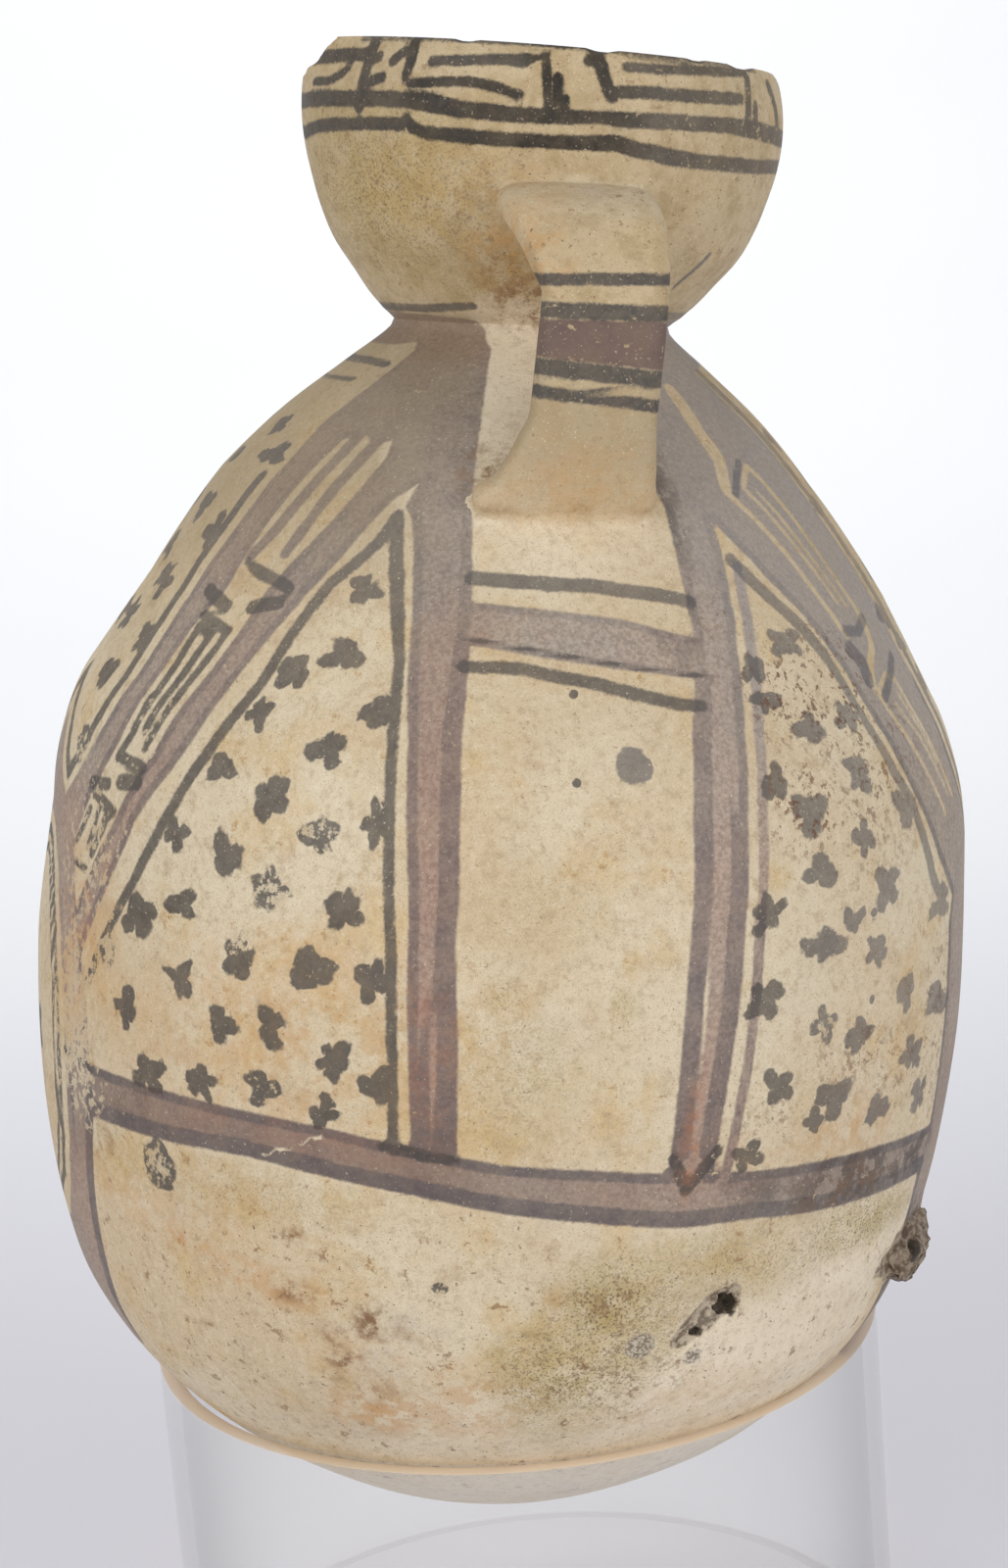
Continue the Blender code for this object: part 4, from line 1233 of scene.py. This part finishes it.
inside = outs < WALL_INSIDE
calm = np.where(inside, FAR, 0.0)
keep("paint", dark + calm, wash + calm, edging + edge_width)
keep("paint_looks", off_handle(pale), black, grime)
for number, spots in enumerate(dab_places):
    keep(f"dab_{number}", *spots)
keep("reach", *[np.where(inside, FAR, reach) for reach in dab_reach])
keep("tone", red, ink, worn)
# Under breaks the second number is painted shade in the pits and the knob's hole, and the third is painted
# light, how much the slip is lightened.
keep("breaks", stroke(CRACK), np.where(outs < PIT_FLOOR, FAR, hollow), off_handle(blots(PAINTED_LIGHT_PLACES)))
# The second and third numbers kept here also carry painted shade, high on the cup's left and beside the
# strap.
keep("stains_and_shade", blots(RUST_PLACES), off_handle(blots(OLIVE_AND_SHADE_PLACES)), off_handle(blots(SOOT_AND_SHADE_PLACES)))
# The first number kept under ground is the tan clay of cup and strap together with the painted side shade.
keep("ground", tan, deep, edge_ink)
# The first two numbers kept here are painted shade on the left and on the right, the third places the dark
# mottles.
keep("painted_shade_and_mottles", painted_shade_left, off_handle(painted_shade_right), blots(MOTTLE_PLACES))
keep("marks", blots(FLECK_PLACES), np.where(inside, FAR, scar), np.where(inside, FAR, crust))
print("attributes:", [layer.name for layer in vessel.data.attributes if not layer.name.startswith(".")])

# %% [markdown]
# ## Leaning in the ring
# The vessel was shaped upright. Now it leans to the right and a little back, as far as the ring
# lets it, and it is set where the measured model has it.

# %% Lean and place
LEAN_TO_RIGHT = math.radians(6.5)
LEAN_BACK = math.radians(3.5)

up = Vector((math.tan(LEAN_TO_RIGHT), math.tan(LEAN_BACK), 1.0)).normalized()
across = (Vector((1.0, 0.0, 0.0)) - up.x * up).normalized()
vessel.data.transform(Matrix((across, up.cross(across), up)).transposed().to_4x4())
points = points_of(vessel.data)
amphora_low, amphora_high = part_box("amphora")
amphora_centre = (amphora_low + amphora_high) / 2
shift = amphora_centre - Vector((points.min(axis=0) + points.max(axis=0)) / 2)
vessel.data.transform(Matrix.Translation(shift))
vessel.name = "amphora_clay"
print("tip stands", round(1000 * shift.z, 1), "mm above the floor")

# %% [markdown]
# ## Building a shader from short words
# A shader is a graph of small steps. A few helpers make each step one readable call: plain
# arithmetic, a soft threshold, a noise, a mix of two colours and a coat over what is there.


# %% Shader helpers
class Shader:
    """A material's node graph, built step by step."""

    def __init__(self, name):
        self.material = bpy.data.materials.new(name)
        self.material.use_nodes = True
        self.tree = self.material.node_tree
        self.surface = self.tree.nodes["Principled BSDF"]
        self.coats = None

    def feed(self, socket, value):
        """Link a node's output to a socket, or write a plain value into it."""
        if isinstance(value, bpy.types.NodeSocket):
            self.tree.links.new(value, socket)
        else:
            socket.default_value = value

    def math(self, operation, *values, clamp=False):
        """One step of arithmetic."""
        node = self.tree.nodes.new("ShaderNodeMath")
        node.operation = operation
        node.use_clamp = clamp
        for socket, value in zip(node.inputs, values):
            self.feed(socket, value)
        return node.outputs["Value"]

    def times(self, first, second, clamp=False):
        """One value times another."""
        return self.math("MULTIPLY", first, second, clamp=clamp)

    def plus(self, first, second):
        """The sum of two values."""
        return self.math("ADD", first, second)

    def minus(self, first, second):
        """What is left of the first value without the second."""
        return self.math("SUBTRACT", first, second)

    def line(self, value, slope, base):
        """The value times a slope, added to a base."""
        return self.math("MULTIPLY_ADD", value, slope, base)

    def soft(self, value, low, high, to_low=0.0, to_high=1.0):
        """A smooth step from one number to another while the value goes from low to high."""
        node = self.tree.nodes.new("ShaderNodeMapRange")
        node.interpolation_type = "SMOOTHSTEP"
        for name, given in (("Value", value), ("From Min", low), ("From Max", high),
                            ("To Min", to_low), ("To Max", to_high)):
            self.feed(node.inputs[name], given)
        return node.outputs["Result"]

    def noise(self, vector, scale, detail=2.0, roughness=0.5, distortion=0.0):
        """A cloudy noise between nought and one."""
        node = self.tree.nodes.new("ShaderNodeTexNoise")
        self.feed(node.inputs["Vector"], vector)
        node.inputs["Scale"].default_value = scale
        node.inputs["Detail"].default_value = detail
        node.inputs["Roughness"].default_value = roughness
        node.inputs["Distortion"].default_value = distortion
        return node.outputs["Fac"]

    def mix(self, share, first, second):
        """A blend of two colours."""
        node = self.tree.nodes.new("ShaderNodeMix")
        node.data_type = "RGBA"
        self.feed(node.inputs[0], share)
        self.feed(node.inputs[6], first)
        self.feed(node.inputs[7], second)
        return node.outputs[2]

    def coat(self, share, tint):
        """Lay a colour over the coats that are there already."""
        self.coats = self.mix(share, self.coats, tint)

    def finish(self, tint, alpha, roughness):
        """Plain values for the surface."""
        self.feed(self.surface.inputs["Base Color"], tint)
        self.feed(self.surface.inputs["Alpha"], alpha)
        self.feed(self.surface.inputs["Roughness"], roughness)

    def attribute(self, name):
        """The three numbers kept on the mesh under a name, as a vector and one by one."""
        node = self.tree.nodes.new("ShaderNodeAttribute")
        node.attribute_name = name
        parts = self.tree.nodes.new("ShaderNodeSeparateXYZ")
        self.feed(parts.inputs[0], node.outputs["Vector"])
        return [node.outputs["Vector"], *parts.outputs]

    def vector(self, x, y, z):
        """A vector made of three numbers."""
        node = self.tree.nodes.new("ShaderNodeCombineXYZ")
        for socket, value in zip(node.inputs, (x, y, z)):
            self.feed(socket, value)
        return node.outputs[0]

    def own_place(self):
        """The object's own coordinates in metres."""
        return self.tree.nodes.new("ShaderNodeTexCoord").outputs["Object"]

    def bump(self, height, strength, distance, below=None):
        """A normal tilted by a height."""
        node = self.tree.nodes.new("ShaderNodeBump")
        node.inputs["Strength"].default_value = strength
        node.inputs["Distance"].default_value = distance
        self.feed(node.inputs["Height"], height)
        if below is not None:
            self.feed(node.inputs["Normal"], below)
        return node.outputs["Normal"]


def colour(red_part, green_part, blue_part):
    """A colour as a screen shows it, turned into the amounts of light a shader wants."""
    parts = []
    for part in (red_part, green_part, blue_part):
        share = part / 255.0
        parts.append(share / 12.92 if share <= 0.04045 else ((share + 0.055) / 1.055) ** 2.4)
    return (*parts, 1.0)


print("a mid grey is", round(colour(128, 128, 128)[0], 3), "of the light")

# %% [markdown]
# ## Clay, slip and paint
# The slip is a thin cream coat over orange clay. It is matt, a little mottled, and dusted with
# dark and pale specks. The paints soaked into it, so they share its sheen and differ only in
# colour. Their edges wander, and grains of slip show through where they wore thin.

# %% Slip
clay = Shader("painted_clay")
own = clay.own_place()
_, dark_mm, wash_mm, edging_mm = clay.attribute("paint")
_, paleness, blackness, grime_share = clay.attribute("paint_looks")
_, crack_mm, recess_shade_mm, painted_light = clay.attribute("breaks")
_, redness, strength, wear = clay.attribute("tone")
_, rust, olive_and_shade, soot_and_shade = clay.attribute("stains_and_shade")
_, tan_and_side_shade, depth, edge_strength = clay.attribute("ground")
_, flecks, scar_mm, crust_mm = clay.attribute("marks")
_, shade_left, shade_right, mottled = clay.attribute("painted_shade_and_mottles")

broad = clay.noise(own, 16.0, 4.0, 0.55)
cloudy = clay.noise(own, 45.0, 5.0, 0.6)
blotchy = clay.noise(own, 110.0, 6.0, 0.68)
grainy = clay.noise(own, 420.0, 4.0, 0.65)
dusty = clay.noise(own, 1500.0, 3.0, 0.6)
sandy = clay.noise(own, 2600.0, 2.0, 0.6)
spotty = clay.noise(own, 230.0, 5.0, 0.72)
broad_share = clay.soft(broad, 0.35, 0.65)
clay.coats = clay.mix(broad_share, colour(218, 202, 172), colour(207, 185, 150))
clay.coat(clay.soft(cloudy, 0.50, 0.68, 0.0, 0.65), colour(206, 176, 124))
clay.coat(clay.times(grime_share, clay.soft(cloudy, 0.42, 0.30, 0.0, 0.5)), colour(196, 182, 164))
clay.coat(clay.soft(blotchy, 0.54, 0.68, 0.0, 0.50), colour(182, 155, 120))
ochre_share = clay.times(clay.soft(spotty, 0.585, 0.65), clay.soft(cloudy, 0.46, 0.60, 0.1, 0.7))
clay.coat(ochre_share, colour(190, 152, 96))
clay.coat(clay.soft(grainy, 0.46, 0.34, 0.0, 0.24), colour(232, 219, 194))
cup_clay = clay.mix(clay.soft(blotchy, 0.42, 0.62), colour(194, 172, 134), colour(174, 150, 108))
# The cup's and strap's tan clay, and far round on the shoulder the same tan as painted side shade.
clay.coat(clay.times(tan_and_side_shade, clay.soft(cloudy, 0.3, 0.6, 1.0, 0.85)), cup_clay)
# Painted shade: the slip is darkened high on the left and round the strap's lower part.
clay.coat(clay.times(shade_left, clay.soft(blotchy, 0.3, 0.7, 0.7, 0.4)), colour(162, 144, 113))
# Painted light: the slip is lightened at the painted-light places.
painted_light_share = clay.times(painted_light, clay.soft(blotchy, 0.35, 0.65, 0.95, 0.6))
clay.coat(painted_light_share, colour(246, 232, 208))
clay.coat(clay.soft(grainy, 0.50, 0.68, 0.0, 0.36), colour(166, 142, 108))
clay.coat(clay.soft(sandy, 0.50, 0.70, 0.0, 0.42), colour(150, 126, 96))
clay.coat(clay.soft(dusty, 0.63, 0.70, 0.0, 0.50), colour(236, 224, 202))
# Painted light again, a second lightening at the same places.
clay.coat(clay.times(painted_light, 0.35), colour(244, 228, 200))
print("slip ready")

# %% Stains in the slip
patchy = clay.noise(own, 150.0, 5.0, 0.7)
rusty = clay.times(rust, clay.soft(patchy, 0.44, 0.56, 0.20, 1.35))
clay.coat(clay.times(rusty, 0.80, clamp=True), colour(196, 148, 92))
# Olive stains, and high on the cup's left also painted shade.
olives_and_shade = clay.times(olive_and_shade, clay.soft(patchy, 0.40, 0.56, 0.45, 1.15))
clay.coat(clay.times(olives_and_shade, 0.75, clamp=True), colour(172, 149, 84))
clay.coat(clay.times(olive_and_shade, clay.soft(dusty, 0.53, 0.60)), colour(92, 72, 44))
grime_spots = clay.times(grime_share, clay.soft(spotty, 0.60, 0.66))
clay.coat(clay.times(grime_spots, 0.7), colour(136, 104, 76))
print("stains ready")

# %% Edges of the paint
wander = clay.minus(clay.noise(own, 260.0, 3.0, 0.6), 0.5)
ragged = clay.minus(clay.noise(own, 1300.0, 2.0, 0.6), 0.5)
drift = clay.line(wander, 1.1, clay.times(ragged, 0.9))

push_right = clay.times(clay.minus(clay.noise(own, 210.0, 2.0, 0.5), 0.5), 0.9)
push_up = clay.times(clay.minus(clay.noise(own, 190.0, 2.0, 0.5, 0.6), 0.5), 0.9)
print("edges wander by up to 1 mm")

# %% The outline of a dab
MORE_LOBES = (0.40, 0.85)
LOBE_DEPTH = 0.46
LOBE_BASE = 0.62
PLAIN_ABOVE = 800.0
DAB_RADIUS = 4.6


def dab_distance(place_in_dab, reach):
    """Millimetres to the edge of a dab of three to five lobes, or of a plain round one.

    A dab's number picks its count of lobes and their turn, so that no two dabs look stamped.
    """
    _, right, up, number = clay.attribute(place_in_dab)
    x, y = clay.plus(right, push_right), clay.plus(up, push_up)
    way = clay.math("ARCTAN2", y, x)
    away = clay.math("SQRT", clay.plus(clay.times(x, x), clay.times(y, y)))
    lot = clay.math("FRACT", clay.times(number, 0.37))
    more = clay.plus(*[clay.math("GREATER_THAN", lot, limit) for limit in MORE_LOBES])
    half_turns = clay.times(way, clay.line(more, 0.5, 1.5))
    petals = clay.math("ABSOLUTE", clay.math("COSINE", clay.plus(half_turns, number)))
    lobes_at = clay.vector(clay.math("COSINE", way), clay.math("SINE", way), number)
    lobes = clay.soft(clay.noise(lobes_at, 0.8, 1.0, 0.5), 0.3, 0.7, -0.20, 0.20)
    lobed_edge = clay.plus(clay.line(petals, LOBE_DEPTH, LOBE_BASE), lobes)
    plain = clay.math("GREATER_THAN", number, PLAIN_ABOVE)
    edge = clay.plus(clay.times(clay.minus(1.0, plain), lobed_edge), plain)
    nearness = clay.math("MAXIMUM", away, clay.minus(reach, 0.35))
    return clay.times(clay.minus(nearness, edge), DAB_RADIUS)


reaches = clay.attribute("reach")[1:]
dab_mm = dab_distance("dab_0", reaches[0])
for number in range(1, GROUPS):
    dab_mm = clay.math("MINIMUM", dab_mm, dab_distance(f"dab_{number}", reaches[number]))
print("dabs ready")

# %% How much each paint covers
dark_all = clay.plus(clay.math("MINIMUM", dark_mm, dab_mm), drift)
wash_all = clay.plus(wash_mm, clay.times(drift, 0.8))
thin_spots = clay.line(wear, 0.36, grainy)
kept = clay.soft(thin_spots, 0.66, 0.76, 1.0, 0.08)
pin_holes = clay.soft(dusty, 0.64, 0.70, 1.0, 0.40)
body_of_paint = clay.times(kept, pin_holes)

wash_share = clay.times(clay.soft(wash_all, 0.5, -0.5, 0.0, 1.0), body_of_paint)
wash_share = clay.times(wash_share, clay.soft(blotchy, 0.3, 0.7, 0.96, 0.80))
edge_mm = clay.line(drift, 0.8, edging_mm)
edge_share = clay.times(clay.soft(edge_mm, -0.5, 0.5), clay.soft(blotchy, 0.3, 0.7, 1.0, 0.8))
edge_share = clay.times(clay.times(edge_share, edge_strength), wash_share)
dark_share = clay.times(clay.soft(dark_all, 0.45, -0.45, 0.0, 1.0), body_of_paint)
dark_share = clay.times(dark_share, strength)
dark_share = clay.times(dark_share, clay.soft(patchy, 0.30, 0.72, 1.0, 0.88))
print("shares ready")

# %% Colours of the paint
silty = clay.noise(own, 850.0, 3.0, 0.65)
mauve = clay.mix(clay.soft(silty, 0.38, 0.64), colour(157, 143, 132), colour(133, 120, 110))
brown = clay.mix(clay.soft(silty, 0.38, 0.64), colour(174, 136, 116), colour(146, 108, 92))
reddened = clay.times(redness, clay.soft(cloudy, 0.25, 0.6, 0.6, 1.05), clamp=True)
wash_colour = clay.mix(reddened, mauve, brown)
wash_colour = clay.mix(clay.times(depth, 0.82), wash_colour, colour(100, 77, 72))
light_wash = clay.mix(clay.soft(silty, 0.36, 0.64), colour(182, 169, 156), colour(150, 138, 127))
wash_colour = clay.mix(clay.times(paleness, 0.75), wash_colour, light_wash)
# Painted shade: the wash is darkened high on the left and greyed high on the right.
wash_colour = clay.mix(clay.times(shade_left, 0.50), wash_colour, colour(137, 118, 92))
wash_colour = clay.mix(clay.times(shade_right, 0.50), wash_colour, colour(156, 150, 146))
grey_dark = clay.mix(clay.soft(silty, 0.38, 0.66), colour(90, 85, 80), colour(110, 102, 95))
black_dark = clay.mix(clay.soft(grainy, 0.38, 0.66), colour(14, 11, 9), colour(44, 38, 33))
dark_colour = clay.mix(blackness, grey_dark, black_dark)
dark_colour = clay.mix(clay.soft(strength, 0.88, 0.70, 0.0, 0.85), dark_colour, colour(76, 79, 88))
clay.coat(wash_share, wash_colour)
clay.coat(clay.times(edge_share, 0.80), colour(70, 70, 75))
clay.coat(dark_share, dark_colour)
rusty_wash = clay.times(clay.times(rusty, wash_share), 0.45, clamp=True)
clay.coat(rusty_wash, colour(184, 116, 72))
mottles = clay.times(clay.times(mottled, wash_share), clay.soft(patchy, 0.44, 0.53, 0.1, 0.95))
clay.coat(mottles, colour(60, 54, 52))
crack_share = clay.soft(clay.line(drift, 0.7, crack_mm), 0.75, 0.25)
clay.coat(crack_share, colour(214, 196, 166))
print("paint ready")

# %% Dirt and damage
speckle = clay.noise(own, 900.0, 2.0, 0.7)
speck_share = clay.times(clay.soft(speckle, 0.66, 0.71), clay.line(grime_share, 0.5, 0.35))
clay.coat(speck_share, colour(104, 78, 56))
fleck_noise = clay.noise(own, 620.0, 3.0, 0.6)
fleck_share = clay.times(clay.soft(fleck_noise, 0.52, 0.55), clay.soft(spotty, 0.47, 0.54))
clay.coat(clay.times(fleck_share, flecks), colour(104, 70, 48))
# Grey-brown spots, and beside the strap painted shade in the same brown.
soots_and_shade = clay.times(soot_and_shade, clay.soft(patchy, 0.42, 0.56, 0.15, 1.25))
soots_and_shade = clay.times(soots_and_shade, clay.soft(spotty, 0.42, 0.56, 0.25, 1.15), clamp=True)
clay.coat(soots_and_shade, colour(134, 100, 68))
scar_share = clay.soft(clay.plus(scar_mm, clay.times(drift, 1.6)), 0.5, -0.5)
scar_colour = clay.mix(clay.soft(grainy, 0.42, 0.58), colour(184, 168, 144), colour(94, 78, 62))
clay.coat(clay.times(scar_share, 0.85), scar_colour)
clay.coat(clay.times(scar_share, clay.times(mottled, 0.5)), colour(86, 62, 42))
crust_share = clay.soft(clay.plus(crust_mm, clay.times(drift, 1.6)), 0.5, -0.5)
crust_colour = clay.mix(clay.soft(dusty, 0.46, 0.56), colour(104, 90, 74), colour(200, 190, 172))
clay.coat(clay.times(crust_share, 0.8), crust_colour)
# Painted shade: the pits and the knob's hole are painted near black.
recess_shade_share = clay.soft(clay.line(drift, 0.8, recess_shade_mm), 0.4, -0.4)
clay.coat(clay.times(recess_shade_share, 0.9), colour(46, 36, 26))
print("dirt ready")

# %% The finish of the clay
clay.feed(clay.surface.inputs["Base Color"], clay.coats)
clay.feed(clay.surface.inputs["Roughness"], clay.soft(grainy, 0.3, 0.7, 0.54, 0.70))
clay.surface.inputs["Specular IOR Level"].default_value = 0.42
fine_relief = clay.bump(dusty, 0.22, 0.00025)
relief = clay.bump(grainy, 0.35, 0.0005, fine_relief)
clay.feed(clay.surface.inputs["Normal"], relief)
vessel.data.materials.clear()
vessel.data.materials.append(clay.material)
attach(vessel, "root")
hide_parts("amphora")
print("clay on", len(vessel.data.polygons), "faces")

# %% [markdown]
# ## The clear ring
# The ring is a slice of clear acrylic tube. Its walls are polished, and painted grey where they are seen
# edge-on, a painted reflection of the darker room. Its cut edges are sawn: the upper one is frosted and
# painted tan, a painted reflection of the clay, the lower one is thinner to the eye and painted pale, painted
# light on a face turned to the floor. A rounded rectangle spun round the axis gives smooth walls without the
# measured ring's flats.

# %% Ring
RING_WALL = 0.0045
RING_EDGE = 0.0005
RING_STEPS = 192

outer = (ring_high.x - ring_low.x) / 2
bm = bmesh.new()
inner = outer - RING_WALL
corners = [(inner, ring_low.z), (outer, ring_low.z), (outer, ring_high.z), (inner, ring_high.z)]
loop = [bm.verts.new((r, 0.0, z)) for r, z in corners]
bm.faces.new(loop)
bmesh.ops.bevel(bm, geom=loop, offset=RING_EDGE, offset_type="OFFSET", segments=2, profile=0.5,
                affect="VERTICES", material=-1)
bmesh.ops.spin(bm, geom=list(bm.edges), cent=(0, 0, 0), axis=(0, 0, 1), angle=math.tau,
               steps=RING_STEPS, use_merge=True)
bmesh.ops.delete(bm, geom=[face for face in bm.faces if len(face.verts) > 4], context="FACES_ONLY")
bmesh.ops.translate(bm, verts=bm.verts, vec=(ring_foot.x, ring_foot.y, 0.0))
for face in bm.faces:
    face.material_index = 1 if face.normal.z > 0.5 else (2 if face.normal.z < -0.5 else 0)
ring = object_from(bm, "clear_ring")
ring.data.set_sharp_from_angle(angle=math.radians(35.0))

clear = Shader("clear_acrylic")
# The walls are painted grey where they are seen edge-on, a painted reflection of the darker room at the
# sides.
grazing = clear.tree.nodes.new("ShaderNodeLayerWeight").outputs["Facing"]
edge_on_reflection_tint = clear.mix(clear.soft(grazing, 0.35, 0.85), colour(252, 252, 252), colour(146, 146, 144))
sawn = Shader("sawn_acrylic_edge_clay_reflection")
foot = Shader("sawn_acrylic_foot_painted_light")
clear.finish(edge_on_reflection_tint, 0.14, 0.08)
# The upper sawn edge is painted tan, a painted reflection of the clay, and the lower one pale, painted light
# on a face turned to the floor.
sawn.finish(colour(236, 216, 190), 0.85, 0.5)
foot.finish(colour(252, 232, 226), 0.22, 0.5)
for shader in (clear, sawn, foot):
    ring.data.materials.append(shader.material)
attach(ring, "root")
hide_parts("stand_tube")
print("ring of", len(ring.data.polygons), "faces,", round(2000 * outer, 1), "mm wide")

# %% [markdown]
# ## Floor and light
# The piece stands in a pale studio: a sweep that bends from floor to wall, a soft light high on the left, a
# slightly weaker and cooler one on the right and one behind for the wall. The sweep's floor is painted greyer
# in front, a painted shade, and paler towards the wall. The view is kept plain, so that the colours on screen
# are those of the clay.

# %% Sweep, lights and world
bm = bmesh.new()
sweep_line = [(-1.2, 0.0), (0.9, 0.0), (1.3, 0.08), (1.5, 0.25), (1.6, 0.42), (1.64, 0.58)]
left_edge = [bm.verts.new((-2.2, y, z)) for y, z in sweep_line]
right_edge = [bm.verts.new((2.2, y, z)) for y, z in sweep_line]
for i in range(len(sweep_line) - 1):
    bm.faces.new((left_edge[i], right_edge[i], right_edge[i + 1], left_edge[i + 1]))
sweep = object_from(bm, "sweep")
backdrop = Shader("studio_sweep")
along = backdrop.tree.nodes.new("ShaderNodeSeparateXYZ")
backdrop.feed(along.inputs[0], backdrop.own_place())
# Painted shade: the floor is greyer in front and grows paler towards the wall.
shaded_floor_to_wall = backdrop.soft(along.outputs["Y"], 0.1, 1.1)
backdrop.finish(backdrop.mix(shaded_floor_to_wall, colour(222, 221, 227), colour(240, 241, 243)), 1.0, 0.9)
backdrop.surface.inputs["Specular IOR Level"].default_value = 0.1
sweep.data.materials.append(backdrop.material)


def soft_light(name, spot, aim, size, power, tint=(1.0, 1.0, 1.0)):
    """A square area light at a spot, turned towards its aim."""
    lamp = bpy.data.lights.new(name, "AREA")
    lamp.size = size
    lamp.energy = power
    lamp.color = tint
    made = bpy.data.objects.new(name, lamp)
    made.location = spot
    made.rotation_euler = (Vector(aim) - Vector(spot)).to_track_quat("-Z", "Y").to_euler()
    bpy.context.scene.collection.objects.link(made)


soft_light("key_light", (-0.85, -1.0, 0.75), (0.0, 0.0, 0.22), 0.8, 8.0)
soft_light("fill_light", (0.95, -0.95, 0.65), (0.0, 0.0, 0.22), 0.8, 7.0, (0.97, 0.98, 1.0))
soft_light("back_light", (0.0, 1.0, 2.0), (0.0, 1.7, 0.9), 1.2, 24.0)
world = bpy.data.worlds.new("studio")
bpy.context.scene.world = world
world.use_nodes = True
world.node_tree.nodes["Background"].inputs["Color"].default_value = (0.95, 0.97, 1.0, 1.0)
world.node_tree.nodes["Background"].inputs["Strength"].default_value = 0.42
bpy.context.scene.view_settings.view_transform = "Standard"
